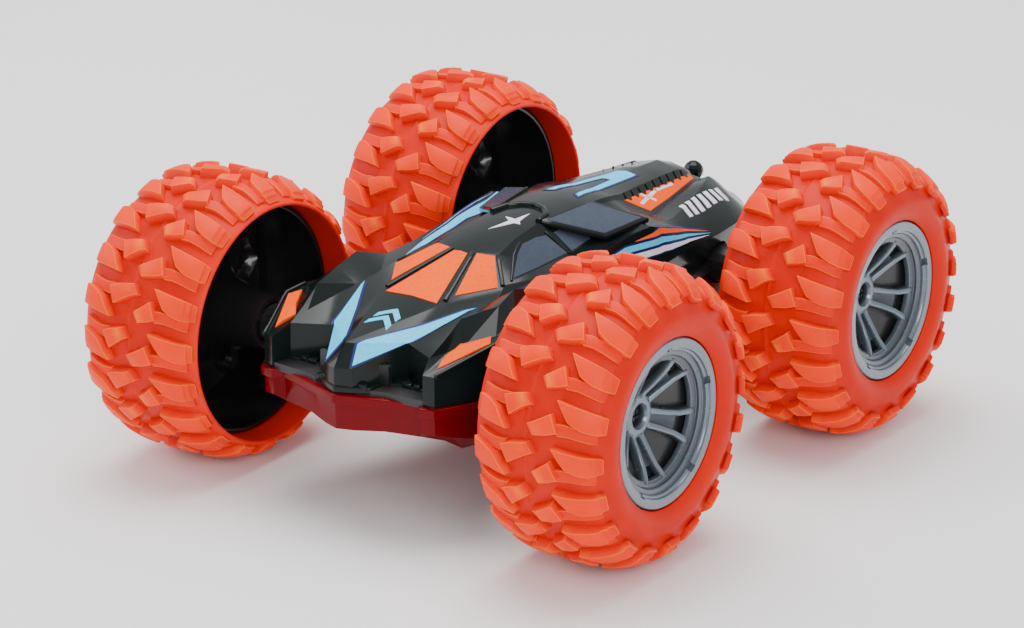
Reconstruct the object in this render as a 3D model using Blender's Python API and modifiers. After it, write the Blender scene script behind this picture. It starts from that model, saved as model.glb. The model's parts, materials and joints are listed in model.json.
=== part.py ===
"""Double-sided radio-controlled stunt car, built as the pieces it comes apart into.

Two mirrored body shells clamp a chassis that carries a seven-gear train on each side.
Each train ties a front wheel to a rear wheel, and its own motor drives it at the middle.
The wheels are deep drums, open towards the body, inside wide balloon tyres.

Lengths are written in millimetres and turned into metres when a mesh is made.
The origin is on the ground under the middle of the car. The nose points along -Y, and
the car's left side is +X.
"""

import math

import bmesh
import bpy
from mathutils import Matrix, Vector

MM = 0.001
GAP = 0.3

# Wheels: everything below follows from the tyre, the wheelbase and the track.
TYRE_RADIUS = 37.5
TYRE_HALF_WIDTH = 19.65
WHEELBASE = 105.6
WHEEL_X = 61.15
AXLE_Z = TYRE_RADIUS
AXLE_Y = WHEELBASE / 2
OUTER_DROP = 0.241
INNER_DROP = 0.17
CROWN_FLAT = 0.22
WHEEL_STEPS = 20
RIM_RADIUS = 21.0
RIM_LIP = 16.85
RIM_BACK = 12.05
HUB_FACE = 7.85
DRUM_RADIUS = 30.3
DRUM_WALL = 1.2
DRUM_MOUTH = -11.85
HUB_END = -17.15
SPOKE_PAIRS = 5
SPOKE_START_DEG = 50.0

# Shafts and bearings.
AXLE_RADIUS = 2.0
AXLE_INNER_X = 11.3
AXLE_OUTER_X = 66.5
BUSH_RADIUS = 3.0
HOUSING_RADIUS = 5.2
HOUSING_END_X = 42.5
PIN_RADIUS = 1.2

# Gear train: seven equal gears span the wheelbase, tooth to tooth.
TRAIN_GEARS = 7
TRAIN_TEETH = 11
TRAIN_MODULE = WHEELBASE / (TRAIN_GEARS - 1) / TRAIN_TEETH
TRAIN_X = (14.0, 17.0)
FINE_TEETH = 24
PINION_TEETH = 8
FINE_MODULE = 0.8
FINE_X = (11.3, 13.7)
PINION_DISTANCE = FINE_MODULE * (FINE_TEETH + PINION_TEETH) / 2
PINION_DIRECTION_DEG = {1: 160.0, -1: -20.0}
GEAR_PLATE_X = (9.8, 11.0)
GEAR_PLATE_HALF_HEIGHT = 8.5
BEARING_WALL_X = (17.5, 19.3)
BEARING_WALL_HALF_HEIGHT = 9.0
GEAR_BAY_END = 65.0

# Chassis deck between the two shells.
DECK_HALF_THICKNESS = 1.0
BATTERY_RADIUS = 7.0
BATTERY_Y = (-72.3, -23.3)
TUB_ROOF = (7.2, 8.0)
MOTOR_RADIUS = 7.8
MOTOR_HALF_LENGTH = 9.4
BOARD_Y = (28.0, 61.0)
BOARD_HALF_WIDTH = 8.6

# Shells, measured from the axle plane that they mirror in.
SHELL_WALL = 1.3
SHELL_EDGE = DECK_HALF_THICKNESS + GAP
SCREW_SPOTS = [(23.4, -67.4), (12.5, 68.5)]
DOOR_Y = (-71.5, -24.0)
DOOR_HALF_WIDTH = 8.6
SWITCH_Y = 22.0
SWITCH_TRAVEL = 2.2
TAIL_BALL = (0.0, 78.3, 14.4)
TAIL_BALL_RADIUS = 2.8

# One row of the shell's skin for each station from the nose to the tail: the centre line,
# the inner crease, the outer crease, the shoulder and the edge of the flank.
SHELL_ROWS = [
    [(0, -80.4, 6.4), (4.5, -80.2, 6.4), (11.0, -78.4, 6.2), (23.0, -77.0, 7.6), (26.0, -76.4, 7.2)],
    [(0, -74.5, 9.9), (5.5, -74.5, 9.5), (12.0, -73.0, 9.0), (22.0, -72.0, 10.2), (27.8, -72.5, 8.8)],
    [(0, -66.0, 12.0), (7.0, -66.0, 11.6), (14.0, -66.0, 11.4), (21.8, -65.8, 13.2), (30.4, -65.4, 10.6)],
    [(0, -56.0, 13.9), (9.0, -56.0, 13.6), (16.5, -56.0, 13.6), (22.8, -56.0, 17.4), (31.4, -55.6, 12.8)],
    [(0, -46.5, 16.3), (8.2, -46.5, 16.0), (17.5, -46.5, 15.4), (23.6, -46.5, 18.8), (28.6, -46.0, 13.6)],
    [(0, -33.0, 20.4), (5.5, -33.0, 19.6), (16.3, -33.0, 16.3), (22.4, -33.0, 17.0), (25.2, -33.0, 12.0)],
    [(0, -18.0, 23.6), (8.6, -18.0, 22.0), (16.0, -18.0, 16.8), (21.4, -18.0, 15.4), (24.2, -18.0, 10.4)],
    [(0, 10.0, 24.6), (8.2, 10.0, 23.0), (16.5, 10.0, 18.2), (23.4, 10.0, 17.4), (26.0, 10.0, 9.0)],
    [(0, 19.0, 24.2), (9.6, 19.0, 22.8), (17.0, 19.0, 20.8), (24.8, 19.0, 20.0), (26.6, 19.0, 9.0)],
    [(0, 36.0, 23.0), (8.4, 36.0, 20.6), (16.0, 36.0, 16.2), (23.0, 36.0, 14.6), (26.6, 36.0, 9.4)],
    [(0, 58.0, 22.0), (7.6, 58.0, 19.0), (13.6, 58.0, 16.6), (19.0, 58.0, 13.4), (24.4, 58.0, 9.5)],
    [(0, 71.5, 16.8), (6.6, 71.5, 16.6), (11.6, 71.5, 15.2), (17.2, 71.0, 12.0), (20.2, 70.5, 9.5)],
    [(0, 75.0, 11.3), (6.0, 75.0, 11.2), (11.0, 74.6, 11.0), (15.2, 73.8, 10.4), (19.0, 73.2, 8.8)],
    [(0, 80.4, 10.4), (6.0, 80.0, 10.3), (10.6, 78.6, 9.8), (14.6, 76.6, 9.0), (17.6, 75.6, 8.0)],
]

# Half of the deck's outline, from the nose to the tail.
DECK_OUTLINE = [
    (5.0, -79.6), (12.0, -77.4), (26.0, -76.4), (26.4, -56.0),
    (26.2, -44.0), (24.4, -30.0), (23.6, -10.0),
    (25.0, 10.0), (26.6, 36.0), (25.2, 57.0), (21.0, 70.5), (18.2, 76.2), (6.2, 80.8),
]

SIDES = {"left": 1, "right": -1}
ENDS = {"front": -1, "rear": 1}

MATERIALS = {
    "tyre_orange": ((0.85, 0.11, 0.025), 0.55, 0.0),
    "drum_black": ((0.012, 0.012, 0.014), 0.3, 0.0),
    "rim_grey": ((0.2, 0.25, 0.31), 0.35, 0.3),
    "shell_black": ((0.01, 0.012, 0.012), 0.15, 0.0),
    "shell_red": ((0.42, 0.01, 0.02), 0.25, 0.0),
    "chassis_black": ((0.015, 0.015, 0.016), 0.5, 0.0),
    "steel": ((0.55, 0.56, 0.58), 0.3, 1.0),
    "gear_white": ((0.75, 0.74, 0.7), 0.45, 0.0),
    "bush_cream": ((0.6, 0.56, 0.45), 0.5, 0.0),
    "battery_blue": ((0.05, 0.16, 0.45), 0.35, 0.0),
    "board_green": ((0.02, 0.2, 0.08), 0.45, 0.0),
    "switch_black": ((0.02, 0.02, 0.02), 0.4, 0.0),
}


def clear_scene():
    for obj in list(bpy.data.objects):
        bpy.data.objects.remove(obj)


def collection(name):
    made = bpy.data.collections.new(name)
    bpy.context.scene.collection.children.link(made)
    return made


def material(name):
    made = bpy.data.materials.get(name)
    if made is None:
        colour, roughness, metallic = MATERIALS[name]
        made = bpy.data.materials.new(name)
        made.use_nodes = True
        shader = made.node_tree.nodes["Principled BSDF"]
        shader.inputs["Base Color"].default_value = (*colour, 1.0)
        shader.inputs["Roughness"].default_value = roughness
        shader.inputs["Metallic"].default_value = metallic
    return made


def wrap(name, mesh, place=None):
    """A new object from a mesh, standing in the part's collection."""
    obj = bpy.data.objects.new(name, mesh)
    bpy.data.collections["stunt_car"].objects.link(obj)
    if place is not None:
        obj.matrix_world = place
    return obj


def finish(obj, material_name, smooth=False):
    obj.data.materials.append(material(material_name))
    if smooth:
        obj.data.shade_smooth()
        obj.data.set_sharp_from_angle(angle=math.radians(35))
    return obj


def box(name, low, high):
    """A box between two corners in millimetres, which stands at its centre."""
    low, high = Vector(low) * MM, Vector(high) * MM
    mesh = bpy.data.meshes.new(name)
    bm = bmesh.new()
    bmesh.ops.create_cube(bm, size=1.0, matrix=Matrix.Diagonal((*(high - low), 1.0)))
    bm.to_mesh(mesh)
    bm.free()
    return wrap(name, mesh, Matrix.Translation((low + high) / 2))


def rod(name, start, end, radius, steps=12):
    """A cylinder between two points in millimetres."""
    start, end = Vector(start) * MM, Vector(end) * MM
    mesh = bpy.data.meshes.new(name)
    bm = bmesh.new()
    bmesh.ops.create_cone(
        bm, cap_ends=True, segments=steps, radius1=radius * MM, radius2=radius * MM, depth=(end - start).length
    )
    bm.to_mesh(mesh)
    bm.free()
    turn = (end - start).to_track_quat("Z", "Y").to_matrix().to_4x4()
    return wrap(name, mesh, Matrix.Translation((start + end) / 2) @ turn)


def turned(name, profile, steps, place=None, closed=True):
    """A body turned about its own Z from (radius, height) points that run down its outer side."""
    mesh = bpy.data.meshes.new(name)
    points = [(radius * MM, 0.0, height * MM) for radius, height in profile]
    edges = [(k, k + 1) for k in range(len(points) - 1)]
    if closed:
        edges.append((len(points) - 1, 0))
    mesh.from_pydata(points, edges, [])
    obj = wrap(name, mesh, place)
    screw = obj.modifiers.new("turn", "SCREW")
    screw.steps = steps
    screw.render_steps = steps
    screw.use_merge_vertices = True
    screw.merge_threshold = 0.00001
    return obj


def plate(name, outlines, thickness, place=None):
    """A flat plate of the given outline and holes, centred on its own XY plane, as a mesh."""
    curve = bpy.data.curves.new(name, "CURVE")
    curve.dimensions = "2D"
    curve.fill_mode = "BOTH"
    curve.extrude = thickness * MM / 2
    curve.resolution_u = 1
    curve.render_resolution_u = 0
    for outline in outlines:
        spline = curve.splines.new("POLY")
        spline.points.add(len(outline) - 1)
        spline.use_cyclic_u = True
        for point, (x, y) in zip(spline.points, outline):
            point.co = (x * MM, y * MM, 0.0, 1.0)
    guide = wrap(name + "_outline", curve)
    bpy.context.view_layer.update()
    mesh = bpy.data.meshes.new_from_object(guide.evaluated_get(bpy.context.evaluated_depsgraph_get()))
    bpy.data.objects.remove(guide)
    mesh.name = name
    bm = bmesh.new()
    bm.from_mesh(mesh)
    bmesh.ops.remove_doubles(bm, verts=bm.verts, dist=0.000001)
    bmesh.ops.recalc_face_normals(bm, faces=bm.faces)
    bm.to_mesh(mesh)
    bm.free()
    return wrap(name, mesh, place)


def combine(target, tool, operation):
    """A Boolean of two objects, with the tool put away as a hidden cutter."""
    cut = target.modifiers.new(operation.lower(), "BOOLEAN")
    cut.operation = operation
    cut.object = tool
    bpy.data.collections["stunt_car"].objects.unlink(tool)
    bpy.data.collections["cutters"].objects.link(tool)
    tool.hide_render = True
    tool.display_type = "WIRE"


def ring_points(radius, steps):
    return [
        (radius * math.cos(2 * math.pi * k / steps), radius * math.sin(2 * math.pi * k / steps)) for k in range(steps)
    ]


def beside(x, y, z=AXLE_Z):
    """The frame of a part that turns about X: its own Z points out of the car's side x is on."""
    turn = Matrix.Rotation(math.copysign(math.pi / 2, x), 4, "Y")
    return Matrix.Translation(Vector((x, y, z)) * MM) @ turn


def crown_radius(across):
    """The tyre's radius across its width, from -1 at the inboard edge to 1 at the outboard edge."""
    drop = OUTER_DROP if across > 0 else INNER_DROP
    return TYRE_RADIUS * (1 - drop * max(0.0, abs(across) - CROWN_FLAT / 2) ** 3)


def make_tyre(name, place):
    """A balloon tyre: crowned outside, with a deep plain bore that the drum fills."""
    flat_grow = 1 / math.cos(math.pi / WHEEL_STEPS)
    profile = [(RIM_RADIUS + GAP, RIM_LIP), (26.5, 19.2)]
    for across in (1.0, 0.88, 0.7, 0.45, CROWN_FLAT / 2, -CROWN_FLAT / 2, -0.45, -0.75, -0.95):
        profile.append((crown_radius(across) * flat_grow, TYRE_HALF_WIDTH * across))
    bore = DRUM_RADIUS + GAP
    profile += [(30.9, -19.55), (bore, DRUM_MOUTH - GAP), (bore, 14.2), (RIM_RADIUS + GAP, 14.2)]
    return finish(turned(name, profile, WHEEL_STEPS, place), "tyre_orange", smooth=True)


def make_drum(name, place):
    """The black drum: a thin cylinder, a dished end, and a hub that reaches back to the axle housing."""
    bore = AXLE_RADIUS + GAP
    profile = [
        (DRUM_RADIUS, 13.9), (DRUM_RADIUS, DRUM_MOUTH), (DRUM_RADIUS - DRUM_WALL, DRUM_MOUTH),
        (DRUM_RADIUS - DRUM_WALL, 10.45), (18.0, 9.65), (12.0, 4.85), (8.6, -1.15), (6.8, HUB_END),
        (bore, HUB_END), (bore, 5.75), (5.0, 5.75), (15.1, RIM_BACK - GAP), (RIM_RADIUS + GAP, RIM_BACK - GAP),
        (RIM_RADIUS + GAP, 13.9),
    ]
    return finish(turned(name, profile, WHEEL_STEPS, place), "drum_black", smooth=True)


def spoke_windows(name, place):
    """Five wedges that leave a pair of spokes between each two of them."""
    outlines = []
    for k in range(SPOKE_PAIRS):
        middle = SPOKE_START_DEG + (k + 0.5) * 360.0 / SPOKE_PAIRS
        corners = [(7.4, -11.0), (14.4, -18.0), (14.4, 18.0), (7.4, 11.0)]
        outlines.append([
            (radius * math.cos(math.radians(middle + swing)), radius * math.sin(math.radians(middle + swing)))
            for radius, swing in corners
        ])
    return plate(name, outlines, 30.0, place)


def make_rim(name, place):
    """The grey rim: a flat lip, a stepped barrel and a dished face on paired spokes."""
    bore = AXLE_RADIUS + GAP
    profile = [
        (RIM_RADIUS, RIM_LIP), (RIM_RADIUS, RIM_BACK), (15.2, RIM_BACK), (5.2, 6.05), (bore, 6.05),
        (bore, HUB_FACE), (5.5, HUB_FACE), (15.2, 14.25), (17.6, 14.45), (18.3, RIM_LIP),
    ]
    rim = turned(name, profile, WHEEL_STEPS, place)
    combine(rim, spoke_windows(name + "_windows", place), "DIFFERENCE")
    return finish(rim, "rim_grey")


def gear_outline(teeth, module, tooth_at=0.0):
    """Straight-flanked teeth with wide backlash; one tooth points along tooth_at, in radians."""
    pitch = 2 * math.pi / teeth
    middle = teeth * module / 2
    root, tip = middle - 1.05 * module, middle + 0.8 * module
    outline = []
    for k in range(teeth):
        centre = tooth_at + k * pitch
        for radius, share in ((root, -0.28), (tip, -0.11), (tip, 0.11), (root, 0.28)):
            angle = centre + share * pitch
            outline.append((radius * math.cos(angle), radius * math.sin(angle)))
    return outline


def mesh_angle(teeth, tooth_at, direction, other_teeth):
    """Where the other gear's tooth points, so that it meshes with this one along direction."""
    share = (direction - tooth_at) * teeth / (2 * math.pi)
    return direction + math.pi - (0.5 - share) * 2 * math.pi / other_teeth


def train_place(side, y, reach):
    """A gear's frame: its own X points to the tail, its own Y up, its own Z along the car's +X."""
    middle = side * (reach[0] + reach[1]) / 2
    axes = Matrix(((0, 0, 1, 0), (1, 0, 0, 0), (0, 1, 0, 0), (0, 0, 0, 1)))
    return Matrix.Translation(Vector((middle, y, AXLE_Z)) * MM) @ axes


def make_train_gear(name, side, y, bore):
    outlines = [gear_outline(TRAIN_TEETH, TRAIN_MODULE), ring_points(bore, 8)]
    gear = plate(name, outlines, TRAIN_X[1] - TRAIN_X[0], train_place(side, y, TRAIN_X))
    return finish(gear, "gear_white")


def make_centre_gear(name, side, bore):
    """The middle gear of the train, with the finer gear that the motor's pinion drives."""
    gear = make_train_gear(name, side, 0.0, bore)
    reach = (FINE_X[0], TRAIN_X[0] + 0.5)
    outlines = [gear_outline(FINE_TEETH, FINE_MODULE), ring_points(bore, 8)]
    fine = plate(name + "_fine", outlines, FINE_X[1] - FINE_X[0], train_place(side, 0.0, FINE_X))
    hub = plate(name + "_hub", [ring_points(5.0, 12), ring_points(bore, 8)], reach[1] - reach[0],
                train_place(side, 0.0, reach))
    combine(fine, hub, "UNION")
    combine(gear, fine, "UNION")
    return gear


def pinion_centre(side):
    direction = math.radians(PINION_DIRECTION_DEG[side])
    return PINION_DISTANCE * math.cos(direction), PINION_DISTANCE * math.sin(direction)


def make_pinion(name, side):
    """The motor's pinion on the stretch of shaft that shows outside the can."""
    y, z = pinion_centre(side)
    tooth = mesh_angle(FINE_TEETH, 0.0, math.radians(PINION_DIRECTION_DEG[side]), PINION_TEETH)
    place = Matrix.Translation(Vector((0.0, 0.0, z)) * MM) @ train_place(side, y, FINE_X)
    pinion = plate(name, [gear_outline(PINION_TEETH, FINE_MODULE, tooth)], FINE_X[1] - FINE_X[0], place)
    height = AXLE_Z + z
    shaft = rod(name + "_shaft", (side * (MOTOR_HALF_LENGTH + 0.7), y, height), (side * 13.0, y, height), 1.0, 8)
    combine(pinion, shaft, "UNION")
    return finish(pinion, "gear_white")


def make_motor(name, side):
    """A small can motor with two flats, lying across the car."""
    y, z = pinion_centre(side)
    height = AXLE_Z + z
    can = rod(name, (-MOTOR_HALF_LENGTH, y, height), (MOTOR_HALF_LENGTH, y, height), MOTOR_RADIUS, 20)
    flats = box(name + "_flats", (-20, y - 10, height - 6.2), (20, y + 10, height + 6.2))
    combine(can, flats, "INTERSECT")
    nose = rod(name + "_nose", (side * 9.0, y, height), (side * (MOTOR_HALF_LENGTH + 0.4), y, height), 2.6)
    combine(can, nose, "UNION")
    return finish(can, "steel", smooth=True)


def make_gear_plate(name, side):
    """The plate that carries the gear pins and the motor's nose."""
    inner, outer = (side * reach for reach in GEAR_PLATE_X)
    end = GEAR_BAY_END - 0.5
    high = GEAR_PLATE_HALF_HEIGHT
    body = box(name, (min(inner, outer), -end, AXLE_Z - high), (max(inner, outer), end, AXLE_Z + high))
    for k in range(1, TRAIN_GEARS - 1):
        y = -AXLE_Y + k * WHEELBASE / (TRAIN_GEARS - 1)
        pin = rod(f"{name}_pin_{k}", (side * 10.4, y, AXLE_Z), (side * 17.2, y, AXLE_Z), PIN_RADIUS, 8)
        combine(body, pin, "UNION")
    y, z = pinion_centre(side)
    hole = rod(name + "_hole", (side * 8.0, y, AXLE_Z + z), (side * 12.0, y, AXLE_Z + z), 3.0)
    combine(body, hole, "DIFFERENCE")
    return finish(body, "chassis_black")


def make_wheel(name, side, y):
    """Tyre, drum, rim, axle, hub screw and axle gear, which turn together."""
    half_step = Matrix.Rotation(math.pi / WHEEL_STEPS, 4, "Z")
    place = beside(side * WHEEL_X, y) @ half_step
    make_tyre("tyre_" + name, place)
    make_drum("wheel_drum_" + name, place)
    make_rim("rim_" + name, place)
    axle = rod("axle_" + name, (side * AXLE_INNER_X, y, AXLE_Z), (side * AXLE_OUTER_X, y, AXLE_Z), AXLE_RADIUS)
    finish(axle, "steel", smooth=True)
    head = [(0.0, 7.35), (1.2, 7.3), (2.0, 6.8), (2.0, 5.75), (0.0, 5.75)]
    screw = turned("hub_screw_" + name, head, 12, beside(side * WHEEL_X, y), closed=False)
    finish(screw, "steel", smooth=True)
    make_train_gear("axle_gear_" + name, side, y, AXLE_RADIUS + GAP)


def make_bush(name, side, y):
    """A long plain bush between the axle and its housing, with a flange at the outer end."""
    bore = AXLE_RADIUS + GAP
    first, last = BEARING_WALL_X[0], HOUSING_END_X + GAP
    profile = [
        (4.6, last + 0.9), (4.6, last), (BUSH_RADIUS, last), (BUSH_RADIUS, first), (bore, first), (bore, last + 0.9),
    ]
    return finish(turned(name, profile, 12, beside(side * 0.001, y)), "bush_cream", smooth=True)


def make_chassis():
    """Deck, bearing walls, four axle housings, the battery tub and the ledge for the board."""
    tub_front = BATTERY_Y[0] - 0.4
    bay_x = GEAR_PLATE_X[0] - GAP
    hole = [
        (-bay_x, tub_front), (bay_x, tub_front), (bay_x, -GEAR_BAY_END), (BEARING_WALL_X[0], -GEAR_BAY_END),
        (BEARING_WALL_X[0], GEAR_BAY_END), (-BEARING_WALL_X[0], GEAR_BAY_END),
        (-BEARING_WALL_X[0], -GEAR_BAY_END), (-bay_x, -GEAR_BAY_END),
    ]
    outline = DECK_OUTLINE + [(-x, y) for x, y in reversed(DECK_OUTLINE)]
    holes = [hole]
    for spot_x, spot_y in SCREW_SPOTS:
        for side in SIDES.values():
            holes.append([(side * spot_x + x, spot_y + y) for x, y in ring_points(1.4, 8)])
    deck_place = Matrix.Translation((0.0, 0.0, AXLE_Z * MM))
    chassis = plate("chassis_frame", [outline] + holes, 2 * DECK_HALF_THICKNESS, deck_place)

    high = BEARING_WALL_HALF_HEIGHT
    for side_name, side in SIDES.items():
        near, far = sorted(side * reach for reach in BEARING_WALL_X)
        wall = box("wall_" + side_name, (near, -GEAR_BAY_END, AXLE_Z - high), (far, GEAR_BAY_END, AXLE_Z + high))
        combine(chassis, wall, "UNION")
        for end_name, end in ENDS.items():
            y = end * AXLE_Y
            name = f"housing_{end_name}_{side_name}"
            start, stop = side * (BEARING_WALL_X[0] + 0.4), side * HOUSING_END_X
            combine(chassis, rod(name, (start, y, AXLE_Z), (stop, y, AXLE_Z), HOUSING_RADIUS, 16), "UNION")
    for side_name, side in SIDES.items():
        for end_name, end in ENDS.items():
            y = end * AXLE_Y
            name = f"bore_{end_name}_{side_name}"
            bore = rod(name, (side * 16.0, y, AXLE_Z), (side * 50.0, y, AXLE_Z), BUSH_RADIUS + GAP, 12)
            combine(chassis, bore, "DIFFERENCE")

    roof_low, roof_high = TUB_ROOF
    tub_back = BATTERY_Y[1] + 0.4
    width = bay_x
    roof_x = BATTERY_RADIUS
    pieces = {
        "tub_front": ((-width - 1, tub_front - 1.2, -6.5), (width + 1, tub_front, 6.2)),
        "tub_neck": ((-roof_x, tub_front - 1.2, 5.5), (roof_x, tub_front, roof_high - 0.4)),
        "tub_roof": ((-roof_x, tub_front - 0.5, roof_low), (roof_x, tub_back + 1.2, roof_high)),
        "tub_back": ((-width, tub_back, -6.5), (width, tub_back + 1.2, roof_high - 0.3)),
        "board_ledge": ((-width, BOARD_Y[0] - 2.0, 1.4), (width, GEAR_BAY_END + 1.0, 2.6)),
        "ledge_web": ((-width, GEAR_BAY_END - 1.6, -6.5), (width, GEAR_BAY_END + 1.2, 2.2)),
    }
    for name, (low, high_corner) in pieces.items():
        lift = Vector((0.0, 0.0, AXLE_Z))
        combine(chassis, box(name, Vector(low) + lift, Vector(high_corner) + lift), "UNION")
    return finish(chassis, "chassis_black")


def make_shell(name, facing):
    """Half of the body as an open skin with a wall inside it; facing is 1 for the top shell."""
    mesh = bpy.data.meshes.new(name)
    bm = bmesh.new()
    grid = [[bm.verts.new((x * MM, y * MM, (AXLE_Z + facing * z) * MM)) for x, y, z in row] for row in SHELL_ROWS]
    for row, following in zip(grid, grid[1:]):
        for k in range(len(row) - 1):
            corners = (row[k], row[k + 1], following[k + 1], following[k])
            bm.faces.new(corners if facing > 0 else corners[::-1])
    rim = [edge for edge in bm.edges if edge.is_boundary and any(vert.co.x > 0.0001 for vert in edge.verts)]
    skirt = bmesh.ops.extrude_edge_only(bm, edges=rim)
    for part in skirt["geom"]:
        if isinstance(part, bmesh.types.BMVert):
            part.co.z = (AXLE_Z + facing * SHELL_EDGE) * MM
    bm.to_mesh(mesh)
    bm.free()
    shell = wrap(name, mesh)
    mirror = shell.modifiers.new("mirror", "MIRROR")
    mirror.merge_threshold = 0.0001
    solid = shell.modifiers.new("wall", "SOLIDIFY")
    solid.thickness = SHELL_WALL * MM
    solid.offset = -1.0
    solid.use_even_offset = True
    for end_name, end in ENDS.items():
        slot = rod(f"{name}_slot_{end_name}", (-60, end * AXLE_Y, AXLE_Z), (60, end * AXLE_Y, AXLE_Z),
                   HOUSING_RADIUS + 0.5, 16)
        combine(shell, slot, "DIFFERENCE")
    return shell


def spots():
    """The four shell screws, each with a name and its place in plan."""
    for end_name, (x, y) in zip(ENDS, SCREW_SPOTS):
        for side_name, side in SIDES.items():
            yield f"{end_name}_{side_name}", side * x, y


def make_upper_shell():
    shell = make_shell("upper_shell", 1)
    tops = {"front": 11.5, "rear": 13.2}
    for name, x, y in spots():
        top = AXLE_Z + tops[name.split("_")[0]]
        combine(shell, rod("upper_boss_" + name, (x, y, AXLE_Z + SHELL_EDGE), (x, y, top), 2.6, 10), "UNION")
    for name, x, y in spots():
        combine(shell, rod("upper_hole_" + name, (x, y, AXLE_Z), (x, y, AXLE_Z + 7.2), 1.4, 8), "DIFFERENCE")
    return finish(shell, "shell_black")


def door_block(name, clearance):
    width = DOOR_HALF_WIDTH - clearance
    low = (-width, DOOR_Y[0] + clearance, 0.0)
    high = (width, DOOR_Y[1] - clearance, AXLE_Z - 7.5)
    return box(name, low, high)


def make_lower_shell():
    shell = make_shell("lower_shell", -1)
    bottoms = {"front": -11.5, "rear": -13.2}
    for name, x, y in spots():
        bottom = AXLE_Z + bottoms[name.split("_")[0]]
        combine(shell, rod("lower_boss_" + name, (x, y, bottom), (x, y, AXLE_Z - SHELL_EDGE), 3.4, 10), "UNION")
    for name, x, y in spots():
        combine(shell, rod("lower_way_" + name, (x, y, 0.0), (x, y, AXLE_Z - 2.9), 2.3, 10), "DIFFERENCE")
        combine(shell, rod("lower_hole_" + name, (x, y, AXLE_Z - 4), (x, y, AXLE_Z), 1.4, 8), "DIFFERENCE")
    combine(shell, door_block("door_opening", 0.0), "DIFFERENCE")
    slot = box("switch_slot", (-1.7, SWITCH_Y - 2.6, 0.0), (1.7, SWITCH_Y + 2.6, AXLE_Z - 15))
    combine(shell, slot, "DIFFERENCE")
    return finish(shell, "shell_red")


def make_battery_door():
    """The stretch of the lower skin over the battery, with its screw at the tail end."""
    door = make_shell("battery_door", -1)
    combine(door, door_block("door_outline", GAP), "INTERSECT")
    x, y, seat = 0.0, DOOR_Y[1] - 5.0, -21.9
    hole = rod("door_screw_hole", (x, y, AXLE_Z + seat - 8), (x, y, AXLE_Z + seat + 8), 1.4, 8)
    combine(door, hole, "DIFFERENCE")
    finish(door, "shell_red")
    head = [(0.0, 7.0), (1.1, 7.0), (1.1, -1.1), (2.2, -1.1), (2.2, -1.9), (1.3, -2.3), (0.0, -2.3)]
    place = Matrix.Translation(Vector((x, y, AXLE_Z + seat)) * MM)
    finish(turned("battery_door_screw", head, 10, place, closed=False), "steel", smooth=True)


def make_shell_screws():
    profile = [(0.0, 6.5), (1.1, 6.5), (1.1, -3.2), (2.0, -3.2), (2.0, -4.5), (0.0, -4.5)]
    for name, x, y in spots():
        place = Matrix.Translation(Vector((x, y, AXLE_Z)) * MM)
        finish(turned("shell_screw_" + name, profile, 8, place, closed=False), "steel")


def make_battery():
    """A single round cell with its raised positive end at the tail."""
    length = BATTERY_Y[1] - BATTERY_Y[0]
    profile = [
        (0.0, length), (2.6, length), (2.6, length - 0.9), (6.4, length - 0.9), (BATTERY_RADIUS, length - 1.5),
        (BATTERY_RADIUS, 0.0), (0.0, 0.0),
    ]
    turn = Matrix.Rotation(-math.pi / 2, 4, "X")
    place = Matrix.Translation(Vector((0.0, BATTERY_Y[0], AXLE_Z)) * MM) @ turn
    return finish(turned("battery_cell", profile, 16, place, closed=False), "battery_blue", smooth=True)


def make_board():
    """The receiver board with its main chip and its wire socket."""
    low, high = BOARD_Y
    base = AXLE_Z + 2.9
    board = box("circuit_board", (-BOARD_HALF_WIDTH, low, base), (BOARD_HALF_WIDTH, high, base + 1.2))
    combine(board, box("chip", (-3.5, low + 14, base + 0.8), (3.5, low + 21, base + 2.6)), "UNION")
    combine(board, box("socket", (-6.0, low + 2, base + 0.8), (6.0, low + 7, base + 6.0)), "UNION")
    return finish(board, "board_green")


def make_switch():
    """The slide switch behind the lower skin, and its knob in the off place."""
    floor = AXLE_Z - 21.4
    finish(box("switch_body", (-2.8, SWITCH_Y - 4.2, floor), (2.8, SWITCH_Y + 4.2, floor + 3.6)), "steel")
    y = SWITCH_Y - SWITCH_TRAVEL / 2
    knob = box("switch_knob", (-1.1, y - 1.2, floor - 3.4), (1.1, y + 1.2, floor - GAP))
    finish(knob, "switch_black")


def make_tail_ball():
    """The small ball on a stem that stands on the tail of the top shell."""
    x, y, z = TAIL_BALL
    steps = 8
    profile = [(0.0, TAIL_BALL_RADIUS)]
    for k in range(1, steps - 1):
        angle = math.pi * k / steps
        profile.append((TAIL_BALL_RADIUS * math.sin(angle), TAIL_BALL_RADIUS * math.cos(angle)))
    profile += [(1.3, -3.1), (0.0, -3.1)]
    place = Matrix.Translation(Vector((x, y, AXLE_Z + z)) * MM)
    return finish(turned("tail_ball", profile, 12, place, closed=False), "shell_black", smooth=True)


def main():
    clear_scene()
    collection("stunt_car")
    collection("cutters").hide_render = True
    make_chassis()
    make_upper_shell()
    make_lower_shell()
    make_battery_door()
    make_shell_screws()
    make_battery()
    make_board()
    make_switch()
    make_tail_ball()
    for side_name, side in SIDES.items():
        make_motor("motor_" + side_name, side)
        make_pinion("motor_pinion_" + side_name, side)
        make_gear_plate("gear_plate_" + side_name, side)
        for k in range(1, TRAIN_GEARS - 1):
            y = -AXLE_Y + k * WHEELBASE / (TRAIN_GEARS - 1)
            name = f"idler_gear_{k}_{side_name}"
            if k == TRAIN_GEARS // 2:
                make_centre_gear(name, side, PIN_RADIUS + GAP)
            else:
                make_train_gear(name, side, y, PIN_RADIUS + GAP)
        for end_name, end in ENDS.items():
            name = f"{end_name}_{side_name}"
            make_wheel(name, side, end * AXLE_Y)
            make_bush("axle_bush_" + name, side, end * AXLE_Y)


main()
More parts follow.
